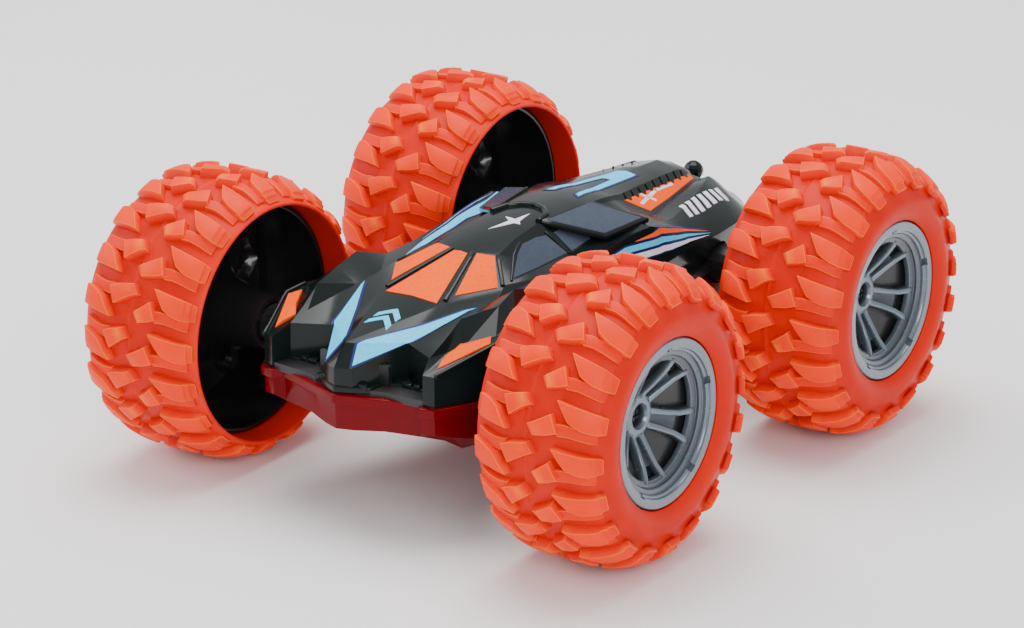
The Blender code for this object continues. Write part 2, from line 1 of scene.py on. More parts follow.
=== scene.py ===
"""The looks of the double-sided stunt car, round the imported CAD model.

Lengths are in millimetres and become metres when a mesh is made. Body points are given
from the axle plane, which the two shells mirror in. The nose points along -Y, and the
car's left side is +X.
"""

import json
import math

import bmesh
import bpy
from mathutils import Matrix, Vector
from mathutils.bvhtree import BVHTree


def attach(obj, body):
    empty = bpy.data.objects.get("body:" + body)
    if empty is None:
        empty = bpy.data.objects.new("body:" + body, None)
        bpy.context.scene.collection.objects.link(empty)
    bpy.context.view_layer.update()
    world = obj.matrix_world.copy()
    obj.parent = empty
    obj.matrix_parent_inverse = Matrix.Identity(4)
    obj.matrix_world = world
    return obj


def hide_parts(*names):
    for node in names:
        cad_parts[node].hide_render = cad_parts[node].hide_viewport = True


MM = 0.001
AXLE_Z = 37.5
AXLE_Y = 52.8
WHEEL_X = 61.15
TYRE_RADIUS = 37.5
TYRE_HALF_WIDTH = 19.65
OUTER_DROP = 0.241

SIDES = {"left": 1, "right": -1}
ENDS = {"front": -1, "rear": 1}

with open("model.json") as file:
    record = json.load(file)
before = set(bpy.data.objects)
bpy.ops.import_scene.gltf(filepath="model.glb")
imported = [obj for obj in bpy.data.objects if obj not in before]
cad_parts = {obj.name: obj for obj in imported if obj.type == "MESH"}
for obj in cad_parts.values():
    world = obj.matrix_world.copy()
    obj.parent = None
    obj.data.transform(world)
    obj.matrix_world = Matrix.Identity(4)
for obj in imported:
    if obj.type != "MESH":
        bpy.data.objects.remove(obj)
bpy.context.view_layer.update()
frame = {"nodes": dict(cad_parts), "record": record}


# ---------------------------------------------------------------- materials

class Nodes:
    """A material's node tree, with short calls to add and join nodes."""

    def __init__(self, name):
        self.material = bpy.data.materials.new(name)
        self.material.use_nodes = True
        self.tree = self.material.node_tree
        self.shader = self.tree.nodes["Principled BSDF"]
        self.coords = self.add("ShaderNodeTexCoord").outputs["Object"]

    def add(self, kind, **values):
        node = self.tree.nodes.new(kind)
        for key, value in values.items():
            setattr(node, key, value)
        return node

    def join(self, source, target):
        self.tree.links.new(source, target)

    def noise(self, scale, detail=4.0, roughness=0.55, stretch=None):
        """Noise with this many features a metre; stretch scales it along each axis."""
        node = self.add("ShaderNodeTexNoise")
        node.inputs["Scale"].default_value = scale
        node.inputs["Detail"].default_value = detail
        node.inputs["Roughness"].default_value = roughness
        if stretch is None:
            self.join(self.coords, node.inputs["Vector"])
        else:
            mapping = self.add("ShaderNodeMapping")
            mapping.inputs["Scale"].default_value = stretch
            self.join(self.coords, mapping.inputs["Vector"])
            self.join(mapping.outputs["Vector"], node.inputs["Vector"])
        return node.outputs["Fac"]

    def ramp(self, source, stops, interpolation="LINEAR"):
        """A colour ramp; stops are (position, colour) with a grey number or three numbers as colour."""
        node = self.add("ShaderNodeValToRGB")
        node.color_ramp.interpolation = interpolation
        elements = node.color_ramp.elements
        while len(elements) < len(stops):
            elements.new(0.5)
        for element, (position, colour) in zip(elements, stops):
            element.position = position
            element.color = (*colour, 1.0) if isinstance(colour, tuple) else (colour, colour, colour, 1.0)
        self.join(source, node.inputs["Fac"])
        return node.outputs["Color"]

    def mix(self, factor, first, second, blend="MIX"):
        node = self.add("ShaderNodeMix", data_type="RGBA", blend_type=blend)
        for value, socket in ((factor, node.inputs[0]), (first, node.inputs[6]), (second, node.inputs[7])):
            if isinstance(value, bpy.types.NodeSocket):
                self.join(value, socket)
            elif isinstance(value, tuple):
                socket.default_value = (*value, 1.0)
            else:
                socket.default_value = value
        return node.outputs[2]

    def bump(self, height, strength, distance):
        node = self.add("ShaderNodeBump")
        node.inputs["Strength"].default_value = strength
        node.inputs["Distance"].default_value = distance
        self.join(height, node.inputs["Height"])
        self.join(node.outputs["Normal"], self.shader.inputs["Normal"])

    def surface(self, tint, gloss, height, strength, distance):
        """Joins the colour and the roughness, and adds a bump from the height."""
        self.join(tint, self.shader.inputs["Base Color"])
        self.join(gloss, self.shader.inputs["Roughness"])
        self.bump(height, strength, distance)

    def set(self, **values):
        for key, value in values.items():
            self.shader.inputs[key.replace("_", " ")].default_value = value
        return self.material


def darker(colour, share):
    return tuple(channel * share for channel in colour)


def moulded(name, colour, rough, grain=900.0, depth=0.00002, mottle=0.12, **values):
    """Moulded plastic: slight colour mottle, uneven gloss and a fine surface grain."""
    nodes = Nodes(name)
    broad = nodes.noise(70.0, 3.0)
    tint = nodes.ramp(broad, [(0.3, darker(colour, 1.0 - mottle)), (0.7, darker(colour, 1.0 + mottle))])
    gloss = nodes.ramp(nodes.noise(240.0, 5.0), [(0.25, rough * 0.82), (0.8, rough * 1.2)])
    nodes.surface(tint, gloss, nodes.noise(grain, 3.0), 0.5, depth)
    return nodes.set(**values)


def printed(name, colour, rough=0.3, gloss_level=0.14):
    """A printed or stuck-on marking: flat ink with faint print mottle under a clear film."""
    nodes = Nodes(name)
    ink = nodes.noise(900.0, 2.0)
    tint = nodes.ramp(ink, [(0.35, darker(colour, 0.93)), (0.65, darker(colour, 1.05))])
    gloss = nodes.ramp(nodes.noise(300.0, 4.0), [(0.3, rough * 0.85), (0.7, rough * 1.2)])
    nodes.surface(tint, gloss, nodes.noise(1500.0, 2.0), 0.2, 0.000003)
    return nodes.set(Specular_IOR_Level=gloss_level)


def rubber(name):
    """Soft orange tyre rubber: deeper red in the grooves as painted shade, and paler along the lugs' outer
    corners as a painted highlight.
    """
    nodes = Nodes(name)
    relief = nodes.add("ShaderNodeAttribute", attribute_name="relief").outputs["Fac"]
    # Painted shade: the deeper a point lies in a groove, the darker red it is.
    groove_shade_stops = [(0.0, (0.66, 0.01, 0.0)), (0.5, (0.85, 0.02, 0.0)), (1.0, (0.98, 0.036, 0.0))]
    depth = nodes.ramp(relief, groove_shade_stops)
    cloud = nodes.ramp(nodes.noise(110.0, 4.0), [(0.3, 0.88), (0.72, 1.0)])
    tone = nodes.mix(1.0, depth, cloud, "MULTIPLY")
    # Painted highlight: where the edge attribute marks a lug's outer corner, the colour is mixed towards pale
    # orange.
    edge = nodes.add("ShaderNodeAttribute", attribute_name="edge").outputs["Fac"]
    tone = nodes.mix(nodes.ramp(edge, [(0.0, 0.0), (1.0, 0.85)]), tone, (1.0, 0.17, 0.002))
    gloss = nodes.ramp(nodes.noise(420.0, 5.0), [(0.25, 0.34), (0.8, 0.48)])
    nodes.surface(tone, gloss, nodes.noise(1300.0, 4.0), 0.45, 0.00005)
    return nodes.set(Specular_IOR_Level=0.1)


def painted_grey(name):
    """Silver-grey paint on plastic with fine metal flake, darkened in the sunk parts as painted shade."""
    nodes = Nodes(name)
    relief = nodes.add("ShaderNodeAttribute", attribute_name="relief").outputs["Fac"]
    flake = nodes.ramp(nodes.noise(2600.0, 2.0), [(0.35, (0.135, 0.168, 0.2)), (0.7, (0.17, 0.21, 0.25))])
    # Painted shade: the flake colour is multiplied darker where the relief is low, in the sunk parts.
    shade = nodes.ramp(relief, [(0.0, 0.12), (0.55, 0.5), (0.9, 1.0)])
    tint = nodes.mix(1.0, flake, shade, "MULTIPLY")
    gloss = nodes.ramp(nodes.noise(300.0, 5.0), [(0.25, 0.2), (0.8, 0.3)])
    nodes.surface(tint, gloss, nodes.noise(1800.0, 3.0), 0.35, 0.00002)
    return nodes.set(Metallic=0.45, Coat_Weight=0.3, Coat_Roughness=0.12)


def brushed(name, colour=(0.55, 0.56, 0.58)):
    nodes = Nodes(name)
    lines = nodes.noise(500.0, 4.0, stretch=(0.15, 1.0, 3.0))
    tint = nodes.ramp(lines, [(0.3, darker(colour, 0.82)), (0.7, colour)])
    nodes.surface(tint, nodes.ramp(lines, [(0.2, 0.22), (0.8, 0.4)]), lines, 0.3, 0.00002)
    return nodes.set(Metallic=1.0)


def circuit(name):
    """Green solder mask over copper tracks that run along and across the board."""
    nodes = Nodes(name)
    tracks = nodes.add("ShaderNodeTexBrick")
    tracks.inputs["Scale"].default_value = 260.0
    tracks.inputs["Mortar Size"].default_value = 0.03
    tracks.inputs["Color1"].default_value = (0.02, 0.2, 0.08, 1.0)
    tracks.inputs["Color2"].default_value = (0.015, 0.16, 0.07, 1.0)
    tracks.inputs["Mortar"].default_value = (0.08, 0.36, 0.12, 1.0)
    nodes.join(nodes.coords, tracks.inputs["Vector"])
    gloss = nodes.ramp(nodes.noise(400.0), [(0.3, 0.28), (0.7, 0.42)])
    nodes.surface(tracks.outputs["Color"], gloss, tracks.outputs["Fac"], 0.4, 0.00004)
    return nodes.material


def sleeve(name):
    """The cell's blue shrink sleeve, with faint rings where it drew tight."""
    nodes = Nodes(name)
    rings = nodes.noise(260.0, 3.0, stretch=(0.2, 4.0, 0.2))
    tint = nodes.ramp(rings, [(0.3, (0.03, 0.12, 0.4)), (0.7, (0.05, 0.18, 0.52))])
    nodes.surface(tint, nodes.ramp(rings, [(0.3, 0.25), (0.7, 0.38)]), rings, 0.4, 0.00005)
    return nodes.set(Coat_Weight=0.4)


def floor_sheet(name):
    nodes = Nodes(name)
    tint = nodes.ramp(nodes.noise(6.0, 3.0), [(0.3, (0.86, 0.86, 0.87)), (0.7, (0.9, 0.9, 0.9))])
    nodes.join(tint, nodes.shader.inputs["Base Color"])
    nodes.bump(nodes.noise(300.0, 4.0), 0.1, 0.0001)
    return nodes.set(Roughness=0.75)


TYRE = rubber("tyre_rubber")
DRUM = moulded("drum_plastic", (0.01, 0.01, 0.0112), 0.2, grain=700.0, mottle=0.15, Specular_IOR_Level=0.5)
RIM = painted_grey("rim_paint")
BLACK = moulded("shell_gloss_black", (0.006, 0.0095, 0.0095), 0.16, grain=900.0, depth=0.000003,
                Specular_IOR_Level=0.22)
RED = moulded("shell_gloss_red", (0.14, 0.0, 0.003), 0.2, grain=900.0, depth=0.000003,
              Specular_IOR_Level=0.12)
CHASSIS = moulded("chassis_satin_black", (0.012, 0.012, 0.0125), 0.42)
GEAR = moulded("gear_nylon", (0.72, 0.71, 0.66), 0.45, mottle=0.05)
BUSH = moulded("bush_acetal", (0.022, 0.021, 0.02), 0.35)
SWITCH = moulded("switch_plastic", (0.02, 0.02, 0.02), 0.4)
STEEL = brushed("plated_steel")
# Painted shade: the sunk hub screw's steel is made near black to stand in for the shade in the hub's hole.
SHADED_SCREW_STEEL = brushed("steel_with_painted_shade", (0.045, 0.047, 0.052))
BOARD = circuit("solder_mask")
CELL = sleeve("cell_sleeve")
ORANGE_INK = printed("ink_orange", (1.0, 0.1, 0.0), 0.4, 0.02)
BLUE_INK = printed("ink_sky_blue", (0.07, 0.56, 0.88))
NAVY_INK = printed("ink_navy", (0.012, 0.02, 0.11))
WHITE_INK = printed("ink_white", (0.74, 0.72, 0.84))
SLATE_INK = printed("ink_slate", (0.045, 0.058, 0.085), 0.26)

SLOT_MATERIALS = {
    "tyre_orange": TYRE, "drum_black": DRUM, "rim_grey": RIM, "shell_black": BLACK, "shell_red": RED,
    "chassis_black": CHASSIS, "steel": STEEL, "gear_white": GEAR, "bush_cream": BUSH, "battery_blue": CELL,
    "board_green": BOARD, "switch_black": SWITCH,
}


# ---------------------------------------------------------------- meshes

def unit(value):
    return max(0.0, min(1.0, value))


def turned(outline, degrees):
    """An outline turned about the origin."""
    c, s = math.cos(math.radians(degrees)), math.sin(math.radians(degrees))
    return [(a * c - b * s, a * s + b * c) for a, b in outline]


def whole(half):
    """Half an outline, from the middle outwards, with its mirror image before it."""
    return [(-x, y) for x, y in half[:0:-1]] + half


def evaluated(obj):
    """The object's mesh with its modifiers applied, and the object removed."""
    bpy.context.view_layer.update()
    mesh = bpy.data.meshes.new_from_object(obj.evaluated_get(bpy.context.evaluated_depsgraph_get()))
    bpy.data.objects.remove(obj)
    return mesh


def linked(name, mesh):
    obj = bpy.data.objects.new(name, mesh)
    bpy.context.scene.collection.objects.link(obj)
    return obj


def mesh_of(name, points, faces):
    """A mesh from points in millimetres."""
    mesh = bpy.data.meshes.new(name)
    mesh.from_pydata([tuple(value * MM for value in point) for point in points], [], faces)
    return mesh


def facing_out(mesh):
    """The mesh with every face turned outward."""
    bm = bmesh.new()
    bm.from_mesh(mesh)
    bmesh.ops.recalc_face_normals(bm, faces=bm.faces)
    bm.to_mesh(mesh)
    bm.free()
    return mesh


def bevelled(mesh, width, segments=2, angle=30.0):
    obj = linked("bevel_work", mesh)
    bevel = obj.modifiers.new("bevel", "BEVEL")
    bevel.width = width * MM
    bevel.segments = segments
    bevel.limit_method = "ANGLE"
    bevel.angle_limit = math.radians(angle)
    return evaluated(obj)


def boolean(mesh, tools, operation):
    """The mesh after a Boolean with each tool mesh in turn."""
    for tool in tools:
        obj, other = linked("boolean_work", mesh), linked("boolean_tool", tool)
        cut = obj.modifiers.new("cut", "BOOLEAN")
        cut.operation = operation
        cut.solver = "MANIFOLD"
        cut.object = other
        mesh = evaluated(obj)
        bpy.data.objects.remove(other)
    return mesh


def joined(meshes):
    """Several meshes as one."""
    bm = bmesh.new()
    for mesh in meshes:
        bm.from_mesh(mesh)
    out = bpy.data.meshes.new("joined")
    bm.to_mesh(out)
    bm.free()
    return out


def smoothed(mesh, sharp=32.0):
    mesh.shade_smooth()
    mesh.set_sharp_from_angle(angle=math.radians(sharp))
    return mesh


def piece(name, mesh, material, body, nodes=(), place=None):
    """A finished piece of the car that rides on a body, and stands for CAD nodes if any are named."""
    obj = linked(name, mesh)
    mesh.name = name
    mesh.materials.clear()
    mesh.materials.append(material)
    if place is not None:
        obj.matrix_world = place
        bpy.context.view_layer.update()
    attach(obj, body)
    if nodes:
        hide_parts(*nodes)
    return obj


def lathe(profile, steps, shape=None):
    """A ring turned about Z from a closed (radius, height) profile. shape may move a point with the angle."""
    points, faces = [], []
    for k in range(steps):
        angle = 2 * math.pi * k / steps
        for j, (radius, height) in enumerate(profile):
            if shape is not None:
                radius, height = shape(j, radius, height, angle)
            points.append((radius * math.cos(angle), radius * math.sin(angle), height))
    count = len(profile)
    for k in range(steps):
        first, second = k * count, (k + 1) % steps * count
        for j in range(count):
            following = (j + 1) % count
            faces.append((first + j, second + j, second + following, first + following))
    return facing_out(mesh_of("lathe", points, faces))


def block(rows_top, rows_base):
    """A closed body between two grids of points with the same rows and columns."""
    rows, columns = len(rows_top), len(rows_top[0])
    points = [point for row in rows_top for point in row] + [point for row in rows_base for point in row]
    base = rows * columns
    faces = []
    for i in range(rows - 1):
        for j in range(columns - 1):
            a, b = i * columns + j, (i + 1) * columns + j
            faces.append((a, a + 1, b + 1, b))
            faces.append((base + a, base + b, base + b + 1, base + a + 1))
    rim = [j for j in range(columns)]
    rim += [i * columns + columns - 1 for i in range(1, rows)]
    rim += [(rows - 1) * columns + j for j in range(columns - 2, -1, -1)]
    rim += [i * columns for i in range(rows - 2, 0, -1)]
    for a, b in zip(rim, rim[1:] + rim[:1]):
        faces.append((a, base + a, base + b, b))
    return facing_out(mesh_of("block", points, faces))


def prism(outline, low, high, axis="z"):
    """A straight prism of a plan outline: (x, y) along Z, or (y, z) along X."""
    points = []
    for level in (low, high):
        for a, b in outline:
            points.append((a, b, level) if axis == "z" else (level, a, b))
    count = len(outline)
    faces = [tuple(range(count)), tuple(range(2 * count - 1, count - 1, -1))]
    for k in range(count):
        following = (k + 1) % count
        faces.append((k, following, count + following, count + k))
    mesh = mesh_of("prism", points, faces)
    bm = bmesh.new()
    bm.from_mesh(mesh)
    bmesh.ops.triangulate(bm, faces=[face for face in bm.faces if len(face.verts) > 4])
    bmesh.ops.recalc_face_normals(bm, faces=bm.faces)
    bm.to_mesh(mesh)
    bm.free()
    return mesh


# ---------------------------------------------------------------- wheels

def wheel_place(side, end):
    """A wheel's frame: its own Z points out of the car, and its own Y points up."""
    turn = Matrix(((0, 0, side, 0), (side, 0, 0, 0), (0, 1, 0, 0), (0, 0, 0, 1)))
    return Matrix.Translation(Vector((side * WHEEL_X, end * AXLE_Y, AXLE_Z)) * MM) @ turn


class Crown:
    """The surface over a tyre's lugs: how far it drops at the inner shoulder, where its inner edge ends, and
    where its first lug is. A flipped tyre has its tread the other way round on the wheel.
    """

    def __init__(self, inner_drop, lip, first_deg, flipped):
        self.inner_drop = inner_drop
        self.lip = lip
        self.first_deg = first_deg
        self.flipped = flipped

    def radius(self, across):
        """The radius over the lugs at this distance across the tyre, outboard positive."""
        share = abs(across) / TYRE_HALF_WIDTH
        drop = OUTER_DROP if across > 0 else self.inner_drop
        return TYRE_RADIUS * (1 - drop * max(0.0, share - 0.11) ** 3)

    def point(self, across, depth):
        """(radius, across) of a point this deep under the crown, along its normal."""
        step = 0.05
        slope = (self.radius(across + step) - self.radius(across - step)) / (2 * step)
        length = math.hypot(1.0, slope)
        return self.radius(across) - depth / length, across + depth * slope / length


TREAD_DEPTH = 2.7
PITCHES = 20
PITCH_DEG = 360.0 / PITCHES
TREAD_MIDDLE = 1.7
FIRST_LUG_DEG = 156.1
HALF_TURN_DEG = -3.2
ROOT = 0.7
# A corner of a lug gets the painted highlight from this angle on, in full ten degrees later, if it stands
# clear of the groove.
CORNER_DEG = 26.0
CORNER_FADE_DEG = 10.0
CORNER_RISE = 0.4
CORNER_MIN_RADIUS = 29.0


def tread_depth(across):
    """How deep the grooves are: full over the crown, fading towards the shoulders."""
    if across > 0:
        return TREAD_DEPTH - 1.0 * max(0.0, (across - 11.0) / 8.65) ** 1.5
    return TREAD_DEPTH - 1.1 * max(0.0, (-across - 12.0) / 7.65) ** 1.5


def tread_block(crown, stations, first_deg, turned_over):
    """A lug from stations ((across, degrees), (across, degrees), sink) along its two edges."""
    def spot(across, degrees, depth, grow=0.0, push=0.0):
        degrees += grow
        across += push
        if turned_over:
            across, degrees = 2 * TREAD_MIDDLE - across, HALF_TURN_DEG - degrees
            across = max(across, -TYRE_HALF_WIDTH)
        if crown.flipped:
            across, degrees = -across, -degrees
        radius, out = crown.point(across, depth if depth is not None else tread_depth(across) + ROOT)
        angle = math.radians(first_deg + degrees)
        return radius * math.cos(angle), radius * math.sin(angle), out

    draft = 0.55
    top, base = [], []
    for k, (low, high, sink) in enumerate(stations):
        middle = tuple((a + b) / 2 for a, b in zip(low, high))
        top.append([spot(*low, sink), spot(*middle, sink), spot(*high, sink)])
        push = -0.45 if k == 0 else (0.1 if k == len(stations) - 1 else 0.0)
        base.append([
            spot(*low, None, -draft, push), spot(*middle, None, 0.0, push), spot(*high, None, draft, push)
        ])
    return block(top, base)


def shoulder_lug(variant):
    """The big claw-ended lug that wraps over the shoulder, with a stepped outer end."""
    stations = [
        ((8.0, 0.0), (11.6, 7.4), 0.0),
        ((11.3, 0.8), (13.2, 8.9), 0.0),
        ((14.4, 1.5), (14.9, 10.0), 0.0),
        ((16.6, 2.0), (16.8, 10.5), 0.0),
    ]
    if variant:
        stations += [
            ((17.0, 2.1), (17.2, 10.5), 0.45), ((18.1, 2.5), (18.2, 10.4), 0.45),
            ((18.4, 2.6), (18.5, 10.3), 0.9), ((19.6, 3.2), (19.6, 9.9), 0.9),
        ]
    else:
        stations += [
            ((18.2, 2.4), (18.2, 10.6), 0.0), ((18.5, 2.5), (18.5, 10.6), 0.55),
            ((19.6, 2.9), (19.6, 10.2), 0.55),
        ]
    return stations


def centre_knob(variant):
    """The slanted knob by the middle, with its inner end chamfered."""
    start = 1.8 if variant else 0.0
    return [
        ((0.6 + start, 11.0), (2.4 + start, 14.9), 0.75),
        ((2.2 + start * 0.8, 9.9), (3.7 + start * 0.8, 14.4), 0.0),
        ((4.9 + start * 0.5, 7.6), (6.6 + start * 0.4, 13.6), 0.0),
        ((7.2 + start * 0.2, 5.4), (9.4 + start * 0.2, 12.2), 0.0),
    ]


def low_bar():
    """The lower step that runs from the knob out along the lug's side."""
    return [
        ((7.6, 9.0), (9.0, 13.6), 1.35),
        ((10.6, 8.6), (11.8, 13.4), 1.35),
        ((13.4, 9.2), (14.4, 14.0), 1.3),
        ((16.4, 9.8), (16.7, 14.8), 1.25),
        ((18.4, 9.8), (18.4, 15.2), 1.3),
    ]


def paint_edge_highlights(mesh, crown):
    """Stores 1 along the lugs' outward corners, and 0 on open faces and on the carcass; the rubber paints a
    highlight where it is 1.
    """
    bm = bmesh.new()
    bm.from_mesh(mesh)
    turns = [
        max((edge.calc_face_angle_signed(0.0) for edge in vert.link_edges), default=0.0)
        for vert in bm.verts
    ]
    bm.free()
    highlight_layer = mesh.attributes.new("edge", "FLOAT", "POINT")
    for turn, vert, highlight_value in zip(turns, mesh.vertices, highlight_layer.data):
        radius, across = math.hypot(vert.co.x, vert.co.y) / MM, vert.co.z / MM
        raised_by = tread_depth(across) - (crown.radius(across) - radius)
        if raised_by > CORNER_RISE and radius > CORNER_MIN_RADIUS:
            highlight_value.value = unit((math.degrees(turn) - CORNER_DEG) / CORNER_FADE_DEG)


def tyre_mesh(crown):
    outline = []
    for k in range(49):
        across = 17.9 - k * (16.9 - crown.lip) / 48
        radius, out = crown.point(across, tread_depth(across))
        if abs(across) < 0.4:
            radius += 0.28
        outline.append((radius, out))
    sidewall = [(21.3, 16.9), (22.0, 17.75), (23.6, 18.35), (25.4, 18.6), (27.0, 18.3), (28.1, 17.6)]
    mouth = [
        (radius, crown.lip + inwards)
        for radius, inwards in ((31.7, 0.4), (31.3, 0.05), (31.0, 0.0), (30.7, 0.2), (30.6, 0.6))
    ]
    mouth.append((30.6, -12.2))
    bore = [(30.6, 14.2), (21.3, 14.2)]
    profile = sidewall + [point for point in outline if point[0] > 28.3] + mouth + bore
    carcass = lathe(profile, 180)
    bars, lugs = [], []
    for k in range(PITCHES):
        variant = k % 2
        first = crown.first_deg + k * PITCH_DEG
        for turned_over in (False, True):
            bars.append(tread_block(crown, low_bar(), first, turned_over))
            lugs.append(tread_block(crown, shoulder_lug(variant), first, turned_over))
            lugs.append(tread_block(crown, centre_knob(variant), first, turned_over))
    bars = bevelled(joined(bars), 0.3, 2, 38.0)
    lugs = bevelled(joined(lugs), 0.5, 2, 38.0)
    mesh = boolean(carcass, [bars, lugs], "UNION")
    # Painted shade: this height over the carcass drives the rubber's darker red in the grooves.
    relief = mesh.attributes.new("relief", "FLOAT", "POINT")
    for vert, value in zip(mesh.vertices, relief.data):
        radius = math.hypot(vert.co.x, vert.co.y) / MM
        across = max(-TYRE_HALF_WIDTH, min(TYRE_HALF_WIDTH, vert.co.z / MM))
        value.value = unit(1.0 - (crown.radius(across) - radius) / TREAD_DEPTH)
    paint_edge_highlights(mesh, crown)
    return smoothed(mesh, 30.0)


DRUM_PROFILE = [
    (30.3, 13.9), (30.3, -11.6), (30.0, -11.85), (29.4, -11.85), (29.1, -11.6), (28.9, 8.6), (28.4, 9.9),
]


def drum_mesh():
    """The drum: a smooth wall, a dished end with a pocket behind each pair of spokes, and a tapered hub."""
    dish = []
    for k in range(15):
        share = k / 14
        radius = 27.6 + (10.4 - 27.6) * share
        dish.append((radius, 10.3 - 0.5 * share - 7.0 * max(0.0, (18.4 - radius) / 8.0) ** 1.6))
    hub = [
        (9.6, -0.6), (8.9, -3.6), (8.2, -8.6), (7.5, -13.6), (7.05, -17.4), (6.8, -18.2), (6.4, -18.3),
        (5.7, -18.3),
        (5.6, -17.15),
    ]
    back = [
        (2.6, -17.15), (2.3, -16.9), (2.3, 5.75), (5.0, 5.75), (15.1, 11.75), (21.3, 11.75), (21.3, 13.9),
    ]
    profile = DRUM_PROFILE + dish + hub + back
    first = len(DRUM_PROFILE)

    def shape(j, radius, height, angle):
        if not first <= j < first + len(dish):
            return radius, height
        pair = 2 * math.pi / 5
        swing = (angle - math.radians(86.0) + pair / 2) % pair - pair / 2
        across = abs(swing) * radius / (2.6 + 0.22 * radius)
        along = abs(radius - 20.4) / 6.6
        inside = 1.0 - unit((math.hypot(across, along) - 0.82) / 0.22)
        inside = inside * inside * (3 - 2 * inside)
        fade = unit((27.9 - radius) / 1.6)
        return radius, height - 2.8 * (1.0 - inside) * fade

    return smoothed(lathe(profile, 160, shape), 40.0)


RIM_SPOKE_DEG = 50.0
# A spoke from the hub to the barrel: radius, swing from the pair's middle, half width and height.
SPOKE_ROWS = [
    (3.9, 24.0, 1.35, 8.1), (5.6, 18.0, 1.25, 8.6), (8.5, 13.6, 1.1, 10.4), (11.8, 12.0, 1.05, 12.3),
    (14.0, 13.4, 1.1, 13.5), (15.4, 14.8, 1.3, 14.1),
]


def polar(radius, degrees, height):
    angle = math.radians(degrees)
    return radius * math.cos(angle), radius * math.sin(angle), height


def spoke(pair_deg, side):
    """One of a pair: a tapered bar with a raised back that runs from the hub down into the barrel."""
    top, base = [], []
    for radius, swing, width, height in SPOKE_ROWS:
        middle = pair_deg + side * swing
        half = math.degrees(width / radius)
        top.append([polar(radius, middle + half * share, height + rise)
                    for share, rise in ((-0.62, 0.0), (0.0, 0.12), (0.62, 0.0))])
        base.append([polar(radius, middle + half * share, height - 2.6) for share in (-1, 0, 1)])
    return block(top, base)


def spoke_floor(pair_deg):
    """The sunk floor between a pair of spokes, which ends short of the barrel and leaves a window."""
    top, base = [], []
    for radius, swing, height in ((4.4, 22.0, 6.9), (7.0, 16.0, 7.9), (10.0, 13.0, 9.8), (12.2, 12.4, 11.2)):
        row = [-swing, 0.0, swing]
        top.append([polar(radius, pair_deg + turn, height) for turn in row])
        base.append([polar(radius, pair_deg + turn, height - 1.2) for turn in row])
    return block(top, base)


def rim_relief(radius, height):
    """1 on the spokes' backs and the flange, down to 0 in the sunk parts, where the rim paint gets painted
    shade.
    """
    if radius > 15.0:
        return unit((height - 12.4) / 4.0)
    if radius < SPOKE_ROWS[0][0]:
        return unit((height - 6.2) / 2.2)
    for inner, outer in zip(SPOKE_ROWS, SPOKE_ROWS[1:]):
        if radius <= outer[0]:
            share = (radius - inner[0]) / (outer[0] - inner[0])
            top = inner[3] + (outer[3] - inner[3]) * share
            break
    return unit(1.0 - (top - height) / 2.2)


def rim_mesh():
    profile = [
        (20.7, 16.85), (21.0, 16.55), (21.0, 12.05), (14.9, 12.05), (14.6, 12.4), (14.75, 13.5), (15.1, 13.8),
        (16.1, 13.95), (16.35, 14.2), (16.4, 14.75), (16.7, 14.95), (17.35, 15.0), (17.6, 15.2),
        (17.75, 15.9),
        (17.95, 16.05), (18.25, 16.1), (18.4, 16.3), (18.5, 16.75), (18.7, 16.85),
    ]
    parts = [lathe(profile, 120)]
    hub = [
        (2.9, 8.0), (2.75, 7.7), (2.75, 6.3), (2.3, 6.1), (2.3, 6.05), (5.6, 6.05), (6.0, 6.6), (5.9, 7.6),
        (5.2, 8.45), (4.1, 8.8), (3.3, 8.6),
    ]
    parts.append(lathe(hub, 64))
    for k in range(5):
        middle = RIM_SPOKE_DEG - 72.0 * k
        for side in (-1, 1):
            parts.append(bevelled(spoke(middle, side), 0.22, 2, 30.0))
        parts.append(bevelled(spoke_floor(middle), 0.15, 1, 30.0))
    rim = parts[0]
    for other in parts[1:]:
        rim = boolean(rim, [other], "UNION")
    notch = [(17.2, -1.1), (18.95, -1.1), (18.95, 1.1), (17.2, 1.1)]
    notches = [prism(turned(notch, 18.0 - 72.0 * k), 15.4, 17.5) for k in range(5)]
    rim = boolean(rim, [joined(notches)], "DIFFERENCE")
    # Painted shade: the rim paint darkens where this relief is low.
    relief = rim.attributes.new("relief", "FLOAT", "POINT")
    for vert, value in zip(rim.vertices, relief.data):
        value.value = rim_relief(math.hypot(vert.co.x, vert.co.y) / MM, vert.co.z / MM)
    return smoothed(rim, 34.0)


def screw_mesh():
    """A pan-head screw with a cross recess."""
    steps = 24
    profile = [(0.25, 7.38), (1.3, 7.3), (1.8, 7.05), (2.0, 6.7), (2.0, 5.8), (0.25, 5.8)]
    head = lathe(profile, steps)
    plug = lathe([(0.3, 7.36), (0.3, 5.9), (0.01, 5.9), (0.01, 7.36)], steps)
    head = boolean(head, [plug], "UNION")
    slot = [(1.25, 0.24), (-1.25, 0.24), (-1.25, -0.24), (1.25, -0.24)]
    head = boolean(head, [prism(turned(slot, degrees), 6.6, 8.0) for degrees in (0.0, 90.0)], "DIFFERENCE")
    return smoothed(head, 34.0)


